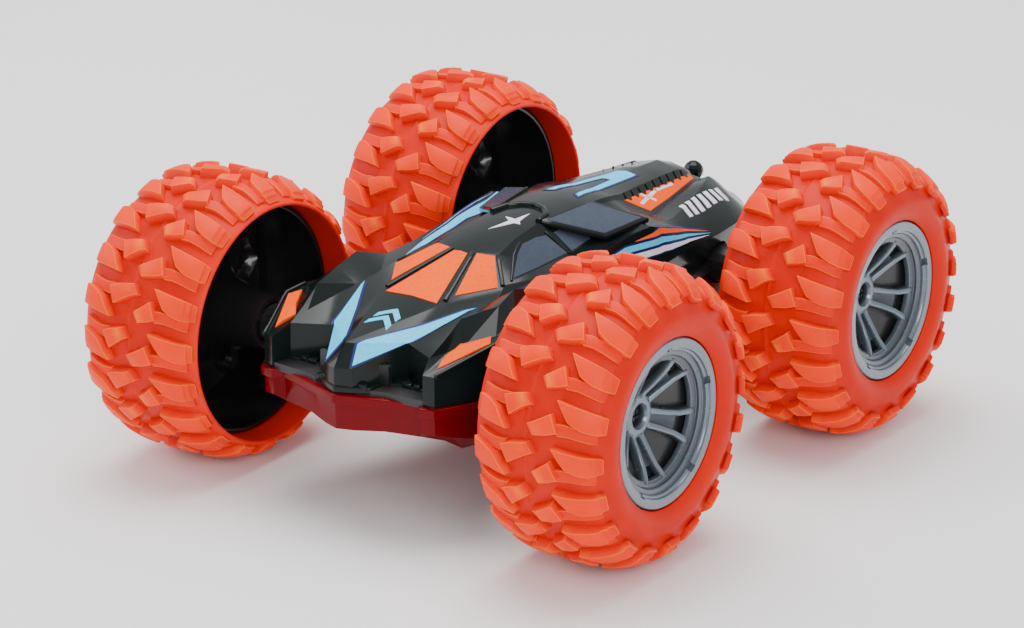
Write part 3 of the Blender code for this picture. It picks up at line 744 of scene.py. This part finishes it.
def make_wheels():
    # The two sides' tyres differ only to fit their outlines: on a real car they are one moulding. The left one
    # stops short of the solid model's inner edge, and the right one's tread is the other way round.
    right_first_deg = FIRST_LUG_DEG + HALF_TURN_DEG
    tyres = {
        "left": tyre_mesh(Crown(inner_drop=0.25, lip=-16.7, first_deg=FIRST_LUG_DEG, flipped=False)),
        "right": tyre_mesh(Crown(inner_drop=0.17, lip=-19.6, first_deg=right_first_deg, flipped=True)),
    }
    meshes = {
        "drum": (drum_mesh(), DRUM, "drum_black", "wheel_drum_{}"),
        "rim": (rim_mesh(), RIM, "rim_grey", "rim_{}"),
        # The hub screw gets the steel darkened as painted shade.
        "hub_screw_head": (screw_mesh(), SHADED_SCREW_STEEL, "steel", "hub_screw_{}"),
    }
    for end_name, end in ENDS.items():
        for side_name, side in SIDES.items():
            wheel = f"{end_name}_{side_name}"
            piece(f"tyre_{wheel}_shown", tyres[side_name].copy(), TYRE, "wheel_" + wheel,
                  ["tyre_" + wheel], wheel_place(side, end))
            for kind, (mesh, material, slot, node) in meshes.items():
                piece(f"{kind}_{wheel}_shown", mesh.copy(), material, "wheel_" + wheel,
                      [node.format(wheel)], wheel_place(side, end))


# ---------------------------------------------------------------- shells

# Half of the shell's outer skin, x from the middle outwards: name: (x, y, z).
SKIN_POINTS = {
    # nose and bonnet
    "n0": (0, -81.8, 6.0), "n1": (4.2, -80.2, 6.3), "c1": (0, -77.0, 11.3), "p1": (1.9, -75.3, 10.9),
    "g1": (11.4, -67.0, 10.4), "g2": (21.4, -71.8, 10.2), "g3": (23.2, -77.0, 7.7), "g4": (26.2, -76.3, 7.6),
    "c2": (0, -51.6, 15.3), "p2": (9.2, -50.6, 15.0), "v1": (20.3, -66.3, 12.2), "v2": (18.4, -49.0, 14.5),
    "v3": (18.2, -39.0, 15.3), "v4": (18.6, -28.0, 15.8),
    # front fender
    "s1": (22.8, -66.6, 10.3), "s2": (25.4, -64.4, 10.85), "s3": (29.8, -56.0, 12.9),
    "e1": (32.7, -59.6, 12.4), "e2": (31.2, -53.2, 13.4),
    "f1": (21.7, -66.2, 13.0), "f2": (22.2, -59.8, 17.0), "f3": (25.2, -48.4, 17.4),
    "f4": (24.6, -41.0, 19.6),
    "f5": (23.4, -30.0, 16.2),
    "e3": (27.6, -43.5, 14.0), "e4": (25.0, -28.0, 11.6),
    # windscreen and front of the roof
    "w0": (16.6, -34.0, 16.9), "r0": (0, -29.2, 21.5), "r1": (2.9, -28.4, 21.4), "r2": (9.2, -26.2, 21.3),
}
SKIN_FACES = [
    "n0 n1 p1 c1", "c1 p1 p2 c2", "n1 g1 p1", "p1 g1 p2", "g1 v1 v2 p2", "g1 g2 v1", "g2 g3 s1",
    "g2 s1 f1 v1",
    "g3 g4 e1 s2 s1", "s2 e1 e2 s3", "s1 s2 f2 f1", "s2 s3 f3 f2", "s3 e2 e3 f3", "v1 f1 f2", "v1 f2 v2",
    "v2 f2 f3", "v2 f3 f4 v3", "v3 f4 f5 v4", "f3 e3 f4", "f4 e3 e4 f5", "c2 p2 r1 r0", "p2 w0 r2 r1",
    "p2 v2 v3 w0", "w0 v3 v4",
]

# The skin from the doors to the tail: y, then half of the section, (x, z) from the middle out.
SECTIONS = [
    (-18.0, [(0, 23.6), (8.2, 22.9), (9.2, 22.1), (16.2, 16.8), (20.4, 15.8), (23.8, 16.2), (24.8, 10.0)]),
    (-5.0, [(0, 24.5), (7.6, 24.2), (9.4, 21.9), (16.2, 16.9), (20.8, 16.6), (24.2, 17.5), (25.4, 9.0)]),
    (3.4, [(0, 24.8), (9.0, 24.4), (10.4, 22.4), (16.6, 17.8), (21.2, 17.4), (24.4, 18.6), (25.8, 8.6)]),
    (10.0, [(0, 24.9), (9.6, 24.5), (10.8, 22.8), (17.0, 18.6), (21.8, 17.9), (24.8, 19.2), (26.2, 8.2)]),
    (18.5, [(0, 24.7), (10.4, 24.4), (11.2, 23.4), (18.0, 21.0), (23.0, 19.6), (25.4, 19.6), (27.0, 8.2)]),
    (23.0, [(0, 24.2), (10.2, 23.8), (10.8, 22.6), (17.0, 20.4), (22.6, 18.6), (25.2, 18.0), (27.2, 8.4)]),
    (28.0, [(0, 23.8), (9.6, 22.8), (10.1, 21.2), (15.0, 18.4), (22.0, 17.6), (24.8, 16.6), (27.4, 9.0)]),
    (36.3, [(0, 23.1), (8.6, 22.3), (9.3, 20.6), (15.0, 16.4), (20.6, 16.0), (24.2, 13.6), (26.6, 9.0)]),
    (50.0, [(0, 22.6), (7.4, 21.4), (8.1, 19.4), (11.8, 16.4), (17.5, 16.6), (23.2, 12.6), (26.2, 8.8)]),
    (60.0, [(0, 22.2), (6.4, 20.6), (7.1, 18.6), (9.6, 16.4), (14.5, 17.4), (21.0, 14.2), (25.4, 9.0)]),
    (67.0, [(0, 19.8), (5.4, 18.6), (6.0, 17.5), (8.4, 16.2), (12.0, 18.0), (18.4, 13.6), (23.6, 9.0)]),
    (73.0, [(0, 13.6), (4.4, 13.4), (4.6, 13.2), (7.8, 14.4), (10.5, 15.2), (15.6, 12.0), (20.4, 8.8)]),
    (76.0, [(0, 11.4), (4.3, 11.3), (4.6, 11.2), (7.6, 11.4), (10.4, 11.6), (14.2, 10.4), (18.4, 8.0)]),
    (80.4, [(0, 10.4), (4.2, 10.35), (5.0, 10.3), (7.2, 10.2), (9.4, 10.0), (12.0, 9.4), (14.6, 7.8)]),
]
# What the first section joins at the front, from the middle out.
SKIN_SEAM = ["r0", "r2", "r2", "w0", "v4", "f5", "e4"]

# The skin's lower edge below the walls, from the nose to the tail: the point above it, and its (x, y).
SKIRT = [
    ("n0", (0, -81.8)), ("n1", (4.2, -80.2)), ("g1", (11.4, -67.0)), ("g2", (21.6, -71.8)),
    ("g3", (23.2, -77.1)), ("g4", (26.2, -76.4)), ("e1", (32.3, -65.4)), ("e2", (31.4, -55.0)),
    ("e3", (26.4, -45.0)), ("e4", (23.8, -29.0)),
    (0, (23.0, -18.0)), (1, (22.8, -5.0)), (2, (23.0, 3.4)), (3, (23.2, 10.0)), (4, (23.4, 18.5)),
    (5, (23.5, 23.0)), (6, (23.6, 28.0)), (7, (23.6, 36.3)), (8, (23.6, 50.0)), (9, (23.0, 60.0)),
    (10, (21.4, 67.0)), (11, (19.0, 73.0)), (12, (17.2, 76.4)), (13, (13.8, 81.0)),
]
# The lower shell's nose is closed: these points move.
CLOSED_NOSE = {
    "n0": (0, -81.4, 9.8), "n1": (4.4, -79.9, 9.8), "c1": (0, -77.4, 10.2), "p1": (4.0, -76.2, 10.2),
    "g1": (11.4, -76.6, 9.6), "g2": (21.0, -74.6, 9.4), "g3": (22.6, -77.4, 7.2),
}
CLOSED_SKIRT = {"g1": (9.0, -79.0), "g2": (21.0, -75.0), "g3": (22.8, -77.6)}


def skin_mesh(edge_z=None, closed=False):
    """The upper shell's outer skin as an open sheet, both halves; down to its lower edge if that is given."""
    points = dict(SKIN_POINTS)
    skirt = dict(SKIRT)
    if closed:
        points.update(CLOSED_NOSE)
        skirt.update(CLOSED_SKIRT)
    for k, (y, section) in enumerate(SECTIONS):
        for j, (x, z) in enumerate(section):
            points[(k, j)] = (x, y, z)
    faces = [tuple(face.split()) for face in SKIN_FACES]
    seam = [*SKIN_SEAM]
    rows = [seam] + [[(k, j) for j in range(7)] for k in range(len(SECTIONS))]
    for row, following in zip(rows, rows[1:]):
        for j in range(6):
            corners = [row[j], row[j + 1], following[j + 1], following[j]]
            faces.append(tuple(name for n, name in enumerate(corners) if name not in corners[:n]))
    faces.append(("r0", "r1", "r2"))
    rim = []
    if edge_z is not None:
        for name, (x, y) in skirt.items():
            above = (name, 6) if isinstance(name, int) else name
            points[("low", name)] = (x, y, edge_z)
            rim.append((above, ("low", name)))
        for (above, below), (above_next, below_next) in zip(rim, rim[1:]):
            faces.append((above, below, below_next, above_next))
        last = len(SECTIONS) - 1
        points[("low", "tail")] = (0, 81.4, edge_z)
        faces.append(tuple((last, j) for j in range(7)) + (("low", last), ("low", "tail")))
    bm = bmesh.new()
    made = {}
    triangles = [(face[0], b, c) for face in faces for b, c in zip(face[1:], face[2:])]
    for side in (1, -1):
        for face in triangles:
            corners = []
            for name in face:
                x, y, z = points[name]
                key = (round(side * x, 4), y, z)
                if key not in made:
                    made[key] = bm.verts.new((key[0] * MM, y * MM, z * MM))
                corners.append(made[key])
            bm.faces.new(corners if side > 0 else corners[::-1])
    bmesh.ops.recalc_face_normals(bm, faces=bm.faces)
    if sum(face.normal.z * face.calc_area() for face in bm.faces) < 0:
        bmesh.ops.reverse_faces(bm, faces=bm.faces)
    mesh = bpy.data.meshes.new("skin")
    bm.to_mesh(mesh)
    bm.free()
    return mesh


def slab(skin, proud, depth):
    """A closed sheet of the skin, from this far outside it to this far inside."""
    obj = linked("slab_work", skin.copy())
    solid = obj.modifiers.new("wall", "SOLIDIFY")
    solid.thickness = (proud + depth) * MM
    solid.offset = (proud - depth) / (proud + depth)
    solid.use_even_offset = True
    solid.thickness_clamp = 1.5
    return evaluated(obj)


def raised(outline, sheet, both=True, along="z", low=-5.0, high=40.0):
    """What a straight prism of the outline cuts from a sheet; on both halves of the car if asked."""
    prisms = [prism(outline, low, high, along)]
    if both:
        prisms.append(prism([(-a, b) for a, b in outline], low, high, along))
    return boolean(sheet, [joined(prisms)], "INTERSECT")


EDGE_UP = -0.2
EDGE_DOWN = 0.4
WALL = 1.1
HOUSING_SLOT = 5.8

# How far the printed sheets stand out of the skin, how deep they reach, and their navy outlines.
OUTLINE_PROUD = 0.09
INK_PROUD = 0.16
STROKE_PROUD = 0.24
SHEET_DEPTH = 0.25
FINE_OUTLINE = 0.45
WIDE_OUTLINE = 0.7

# The battery door's opening, and the slot for the switch's knob.
DOOR_HALF_WIDTH = 8.6
DOOR_CATCH_Y = -24.0
DOOR_HINGE_Y = -71.2
DOOR_GAP = 0.3
HINGE_GAP = 1.0
SWITCH_SLOT = [(-1.7, 19.4), (1.7, 19.4), (1.7, 24.6), (-1.7, 24.6)]


def thick_shell(closed, edge_z):
    """A shell's solid: the skin given its wall, with round slots over the axle housings."""
    solid = bevelled(slab(skin_mesh(edge_z, closed), 0.0, WALL), 0.28, 2, 24.0)
    cuts = []
    for end in (-1, 1):
        ring = []
        for k in range(20):
            angle = 2 * math.pi * k / 20
            ring.append((end * AXLE_Y + HOUSING_SLOT * math.cos(angle), HOUSING_SLOT * math.sin(angle)))
        cuts.append(prism(ring, -60.0, 60.0, "x"))
    return boolean(solid, cuts, "DIFFERENCE")


def strip(tree, points, width, height, name="strip"):
    """A raised rounded rib that follows points laid on the skin."""
    path = []
    for first, second in zip(points, points[1:]):
        start, end = Vector(first), Vector(second)
        count = max(1, int((end - start).length / 3.0))
        path += [start.lerp(end, k / count) for k in range(count)]
    path.append(Vector(points[-1]))
    top, base = [], []
    for k, point in enumerate(path):
        found, normal, _, _ = tree.find_nearest(point * MM)
        found = found / MM
        ahead = (path[min(k + 1, len(path) - 1)] - path[max(k - 1, 0)]).normalized()
        across = ahead.cross(normal).normalized()
        top.append([tuple(found + across * width * share + normal * rise)
                    for share, rise in ((-0.38, height * 0.8), (0.0, height), (0.38, height * 0.8))])
        base.append([tuple(found + across * width * share - normal * 0.5) for share in (-0.5, 0.0, 0.5)])
    return bevelled(block(top, base), 0.16, 2, 30.0)


def both_sides(points):
    return [points, [(-x, y, z) for x, y, z in points]]


PANE_ORANGE = [
    [(-7.9, -50.6), (7.9, -50.6), (2.1, -29.8), (-2.1, -29.8)],
    [(9.9, -45.6), (15.9, -36.0), (8.9, -27.4), (4.2, -28.6)],
]
GLASS_SLATE = [
    [(16.0, -29.4), (11.4, -21.2), (10.0, -17.0), (9.9, -11.0), (10.4, -7.2), (15.9, -5.6)],
    [(10.6, -4.0), (11.4, 3.6), (14.6, 6.6), (16.1, 4.4), (16.1, -3.8)],
]
FENDER_ORANGE = [(25.0, -73.4), (31.2, -60.3), (29.2, -57.2), (25.4, -64.4), (23.6, -67.0)]
STRIPE_BLUE = [(4.0, -79.8), (2.3, -75.4), (3.0, -73.0), (17.4, -46.8), (12.2, -66.0), (11.0, -67.6)]
ARROW_BLUE = [
    (5.0, 15.2), (3.1, 45.0), (-3.1, 45.0), (-5.0, 15.2), (-3.4, 16.4), (-1.4, 35.6), (1.4, 35.6),
    (3.4, 16.4),
]


def grown(outline, extra):
    """An outline moved outwards by this much along its edges' normals."""
    area = sum(a[0] * b[1] - b[0] * a[1] for a, b in zip(outline, outline[1:] + outline[:1]))
    turn = 1 if area > 0 else -1
    out = []
    count = len(outline)
    for k in range(count):
        before, here, after = Vector(outline[k - 1]), Vector(outline[k]), Vector(outline[(k + 1) % count])
        one, two = (here - before).normalized(), (after - here).normalized()
        n1, n2 = Vector((one.y, -one.x)) * turn, Vector((two.y, -two.x)) * turn
        middle = n1 + n2
        if middle.length < 0.5:
            middle = n1
        middle = middle.normalized()
        reach = extra / max(0.5, middle.dot(n1))
        out.append(tuple(here + middle * reach))
    return out


def mirrored(mesh):
    """The mesh turned over into the lower shell: reflected in the axle plane."""
    mesh = mesh.copy()
    bm = bmesh.new()
    bm.from_mesh(mesh)
    bmesh.ops.scale(bm, vec=(1, 1, -1), verts=bm.verts)
    bmesh.ops.reverse_faces(bm, faces=bm.faces)
    bm.to_mesh(mesh)
    bm.free()
    return mesh


LIFT = Matrix.Translation((0, 0, AXLE_Z * MM))


def plate(corners, thick, inset=0.0, lift=0.0):
    """A thin four-cornered plate, patched evenly between its corners, from its top face down."""
    steps = 4
    a, b, c, d = (Vector(corner) for corner in corners)
    top = []
    for i in range(steps + 1):
        u = inset + (1 - 2 * inset) * i / steps
        row = []
        for j in range(steps + 1):
            v = inset + (1 - 2 * inset) * j / steps
            row.append(tuple(a.lerp(b, u).lerp(d.lerp(c, u), v) + Vector((0, 0, lift))))
        top.append(row)
    base = [[(x, y, z - thick) for x, y, z in row] for row in top]
    return block(top, base)


BUTTRESS = [(7.4, -6.5, 24.6), (9.8, 13.4, 25.2), (22.9, 21.6, 20.6), (20.2, 5.9, 19.5)]
REAR_PANEL = [
    (10.4, 28.8), (14.4, 35.0), (11.4, 50.0), (9.2, 60.0), (8.0, 66.0), (6.4, 66.0), (7.4, 60.0), (8.4, 50.0),
    (9.6, 36.3),
]
PANEL_STROKES = [
    [(12.0, 33.6), (12.6, 34.4), (9.9, 44.8), (9.3, 44.0)],
    [(10.0, 36.8), (12.4, 41.2), (11.8, 41.8), (9.6, 37.6)],
    [(9.8, 45.6), (8.9, 54.6), (8.4, 54.2), (9.2, 45.4)],
]
POD_ORANGE = [(11.5, 17.3), (23.0, 17.9), (46.5, 10.6), (24.0, 16.2)]
POD_BLUE = [
    (-4.0, 12.6), (-1.0, 15.6), (7.4, 16.8), (23.5, 15.5), (47.0, 10.0), (24.0, 13.9), (9.5, 15.0),
    (4.0, 12.2),
]
POD_WHITE = [(7.0, 12.4), (10.0, 14.2), (24.0, 13.1), (46.0, 9.7), (24.0, 11.6), (11.0, 12.4)]
# The crest's markings, on the car's right side only.
CREST_BLUE = [
    (17.9, -32.0), (21.6, -18.0), (23.0, 0.0), (23.5, 19.4), (18.6, 9.4), (21.2, 2.0), (20.2, -13.0),
]
CREST_WHITE = [(22.4, -16.0), (23.4, -4.0), (24.2, 8.0), (24.7, 18.0), (23.9, 4.0)]
CREST_ORANGE = [(21.8, 20.6), (24.9, 21.0), (24.6, 27.0), (22.4, 24.4)]
LIP_LINE = [(0.0, -82.2), (8.5, -78.6), (8.9, -73.6), (13.2, -72.2), (18.5, -71.9), (22.6, -72.6)]
FLANGE_LINE = [
    (0.0, -82.7), (4.5, -81.1), (9.3, -79.6), (21.0, -75.8), (22.6, -78.2), (26.7, -77.3), (32.9, -65.6),
    (31.9, -55.0), (27.2, -44.8),
]


def rail(half, width, low, high):
    """A level bar that follows half a plan outline and its mirror image, this much wide inwards."""
    path = whole(half)
    top, base = [], []
    for k, (x, y) in enumerate(path):
        before, after = Vector(path[max(k - 1, 0)]), Vector(path[min(k + 1, len(path) - 1)])
        here = Vector((x, y))
        one = (here - before).normalized() if k else (after - here).normalized()
        two = (after - here).normalized() if k < len(path) - 1 else one
        inward = (Vector((-one.y, one.x)) + Vector((-two.y, two.x))).normalized()
        reach = width / max(0.6, inward.dot(Vector((-one.y, one.x))))
        inner = here + inward * reach
        top.append([(x, y, high), (inner.x, inner.y, high)])
        base.append([(x, y, low), (inner.x, inner.y, low)])
    return bevelled(block(top, base), 0.3, 2, 24.0)


ROOF_SPARK = [
    (-0.4, -17.4), (2.8, -10.6), (4.6, -10.4), (3.3, -8.8), (2.6, -3.2), (1.6, -8.4), (-1.6, -8.2),
    (0.9, -10.2),
]


def chevrons():
    out = []
    for start in (-67.0, -63.2):
        out.append([(-2.2, start), (1.2, start + 3.4), (4.6, start), (4.6, start + 2.2), (1.2, start + 5.6),
                    (-2.2, start + 2.2)])
    return out


def far(outline):
    """The outline on the car's right side."""
    return [(-x, y) for x, y in outline]


def haunch_bars():
    """A row of even slanted bars along the haunch."""
    bars = []
    for k in range(7):
        y = 43.0 + 3.3 * k
        inner, outer = 17.4 - 0.25 * k, 21.6 - 0.22 * k
        bars.append([(outer, y), (inner, y + 1.0), (inner, y + 2.9), (outer, y + 1.9)])
    return bars


def spine_teeth():
    """Small dark teeth that hang from the spine's edge over the rear panel."""
    teeth = []
    for k in range(9):
        y = 31.0 + 4.0 * k
        edge = 9.8 - (y - 31.0) * 0.1
        tooth = [(edge - 0.2, y - 1.5), (edge + 1.1, y + 0.3), (edge + 0.9, y + 0.9), (edge - 0.2, y + 1.9)]
        teeth.append(tooth)
    return teeth


def lip_floor():
    """The floor inside the lip, which ends short of the front axle gears."""
    return prism(whole([(x, y + 1.0) for x, y in LIP_LINE] + [(22.6, -64.2)]), EDGE_UP, 0.7)


def lip_bosses():
    """The small moulded lugs along the lip."""
    bosses = []
    for x, y, wide in ((6.2, -78.4, 1.6), (14.6, -71.4, 1.5), (17.4, -71.2, 1.1)):
        for side in (1, -1):
            outline = [(side * (x - wide), y - 0.8), (side * (x + wide), y - 0.8),
                       (side * (x + wide * 0.7), y + 1.2), (side * (x - wide * 0.7), y + 1.2)]
            bosses.append(bevelled(prism(outline, 0.6, 2.3), 0.3, 2, 24.0))
    return bosses


def make_upper():
    deck = skin_mesh()
    bm = bmesh.new()
    bm.from_mesh(deck)
    tree = BVHTree.FromBMesh(bm)
    bm.free()
    shell = smoothed(thick_shell(False, EDGE_UP), 20.0)
    piece("upper_shell_shown", shell, BLACK, "body", ["upper_shell"], LIFT)

    ink, under = slab(deck, INK_PROUD, SHEET_DEPTH), slab(deck, OUTLINE_PROUD, SHEET_DEPTH)
    orange = [raised(shape, ink, k > 0) for k, shape in enumerate(PANE_ORANGE)]
    orange += [raised(FENDER_ORANGE, ink), raised(REAR_PANEL, ink)]
    slate = [raised(shape, ink) for shape in GLASS_SLATE]
    blue = [raised(STRIPE_BLUE, ink), raised(ARROW_BLUE, ink, False)]
    blue += [raised(chevron, ink, False) for chevron in chevrons()]
    navy = [raised(grown(STRIPE_BLUE, WIDE_OUTLINE), under)]
    navy.append(raised(grown(ARROW_BLUE, WIDE_OUTLINE), under, False))
    white = [raised(ROOF_SPARK, ink, False), raised(far(CREST_WHITE), ink, False)]
    white += [raised(bar, ink) for bar in haunch_bars()]
    orange.append(raised(far(CREST_ORANGE), ink, False))
    blue.append(raised(far(CREST_BLUE), ink, False))
    navy += [raised(grown(far(shape), FINE_OUTLINE), under, False) for shape in (CREST_BLUE, CREST_WHITE)]
    proud = slab(deck, STROKE_PROUD, SHEET_DEPTH)
    white += [raised(stroke, proud) for stroke in PANEL_STROKES]
    for low, high in ((14.0, 34.0), (-34.0, -14.0)):
        orange.append(raised(POD_ORANGE, ink, False, "x", low, high))
        blue.append(raised(POD_BLUE, ink, False, "x", low, high))
        white.append(raised(POD_WHITE, ink, False, "x", low, high))
        for shape in (POD_ORANGE, POD_BLUE, POD_WHITE):
            navy.append(raised(grown(shape, FINE_OUTLINE), under, False, "x", low, high))
    slate += [bevelled(plate(corners, 0.8, 0.07, 0.14), 0.1, 1) for corners in both_sides(BUTTRESS)]
    for name, meshes, material in (
        ("decal_orange", orange, ORANGE_INK), ("decal_slate", slate, SLATE_INK),
        ("decal_blue", blue, BLUE_INK),
        ("decal_navy", navy, NAVY_INK), ("decal_white", white, WHITE_INK),
    ):
        piece(name, smoothed(joined(meshes), 20.0), material, "body", place=LIFT)

    scoop = [(7.4, -6.4, 24.4), (6.2, -1.2, 24.7), (3.4, 1.4, 24.8), (0, 2.2, 24.8)]
    ribs = [strip(tree, [(-x, y, z) for x, y, z in scoop] + scoop[-2::-1], 1.9, 1.0)]
    ribs += [raised(tooth, proud) for tooth in spine_teeth()]
    for path, width, height in (
        ([(9.0, -48.6, 15.2), (3.1, -28.8, 21.3)], 1.5, 0.55),
        ([(16.5, -34.6, 16.9), (9.3, -26.6, 21.3)], 1.3, 0.5),
        ([(16.3, -30.8, 16.8), (11.2, -22.2, 20.6), (9.4, -17.6, 22.0)], 0.9, 0.4),
        ([(9.7, -6.4, 22.2), (16.2, -4.7, 16.9)], 1.1, 0.45),
        ([(26.2, -76.0, 7.4), (32.4, -59.8, 12.4), (31.1, -53.6, 13.4)], 1.3, 0.7),
    ):
        ribs += [strip(tree, side, width, height) for side in both_sides(path)]
    ribs += [bevelled(plate(corners, 1.3), 0.3, 2) for corners in both_sides(BUTTRESS)]
    ribs += [lip_floor(), rail(LIP_LINE, 2.0, EDGE_UP, 1.6), *lip_bosses()]
    piece("shell_ribs", smoothed(joined(ribs), 34.0), BLACK, "body", place=LIFT)


def door_outline(gap, hinge_end):
    """The battery door's plan, this far inside its opening, up to this Y at its hinge."""
    side, catch_end = DOOR_HALF_WIDTH - gap, DOOR_CATCH_Y - gap
    return [(-side, hinge_end), (side, hinge_end), (side, catch_end), (-side, catch_end)]


def make_lower():
    """The red shell: the same form turned over with a closed nose, and the battery door cut from it."""
    shell = mirrored(thick_shell(True, EDGE_DOWN))
    door = boolean(shell.copy(), [prism(door_outline(DOOR_GAP, DOOR_HINGE_Y), -40.0, -7.5)], "INTERSECT")
    opening = prism(door_outline(0.0, DOOR_HINGE_Y - HINGE_GAP), -40.0, -7.5)
    shell = boolean(shell, [opening], "DIFFERENCE")
    shell = boolean(shell, [prism(SWITCH_SLOT, -40.0, -15.0)], "DIFFERENCE")
    shell = boolean(shell, [rail(FLANGE_LINE, 2.0, -2.9, -0.5)], "UNION")
    piece("lower_shell_shown", smoothed(shell, 20.0), RED, "body", ["lower_shell"], LIFT)
    piece("battery_door_shown", smoothed(door, 20.0), RED, "battery_hatch", ["battery_door"],
          LIFT)


# ---------------------------------------------------------------- camera and light

def aim(obj, position, target):
    obj.location = position
    obj.rotation_euler = (Vector(target) - Vector(position)).to_track_quat("-Z", "Y").to_euler()


FLOOR_HALF = 3000


def make_stage():
    azimuth, elevation, distance = math.radians(35.258), math.radians(19.792), 0.956409
    target = Vector((0.0, 0.0, AXLE_Z * MM))
    level = math.cos(elevation)
    offset = Vector((math.sin(azimuth) * level, -math.cos(azimuth) * level, math.sin(elevation)))
    camera = bpy.data.objects.new("camera", bpy.data.cameras.new("camera"))
    bpy.context.scene.collection.objects.link(camera)
    aim(camera, target + distance * offset, target)
    camera.data.sensor_width = 36.0
    camera.data.lens = 129.424
    camera.data.shift_x = -0.01658
    camera.data.shift_y = -0.01537
    camera.data.clip_start = 0.01
    bpy.context.scene.camera = camera

    corners = [(FLOOR_HALF * x, FLOOR_HALF * y, 0) for x, y in ((-1, -1), (1, -1), (1, 1), (-1, 1))]
    floor = linked("floor", mesh_of("floor", corners, [(0, 1, 2, 3)]))
    floor.data.materials.append(floor_sheet("floor_sheet"))

    world = bpy.data.worlds.new("studio")
    world.use_nodes = True
    background = world.node_tree.nodes["Background"]
    background.inputs["Color"].default_value = (0.95, 0.97, 1.0, 1.0)
    background.inputs["Strength"].default_value = 0.85
    bpy.context.scene.world = world
    for name, position, size, power, colour in (
        ("overhead", (-0.15, 0.15, 0.95), 0.8, 12.5, (1.0, 0.99, 0.97)),
        ("front_left", (0.75, -0.75, 0.55), 0.5, 6.0, (1.0, 0.98, 0.95)),
        ("far_side", (-0.85, -0.35, 0.5), 0.5, 3.0, (0.96, 0.98, 1.0)),
    ):
        lamp = bpy.data.lights.new(name, "AREA")
        lamp.size = size
        lamp.energy = power
        lamp.color = colour
        obj = bpy.data.objects.new(name, lamp)
        bpy.context.scene.collection.objects.link(obj)
        aim(obj, Vector(position), target)


def dress_frame():
    """Gives every CAD node its material, by the slot that the record names for it."""
    slots = {part["node"]: part["material_slot"] for part in frame["record"]["subparts"]}
    for name, obj in frame["nodes"].items():
        material = SLOT_MATERIALS[slots[name]]
        if not obj.material_slots:
            obj.data.materials.append(material)
        for slot in obj.material_slots:
            slot.material = material


make_stage()
dress_frame()
make_wheels()
make_upper()
make_lower()
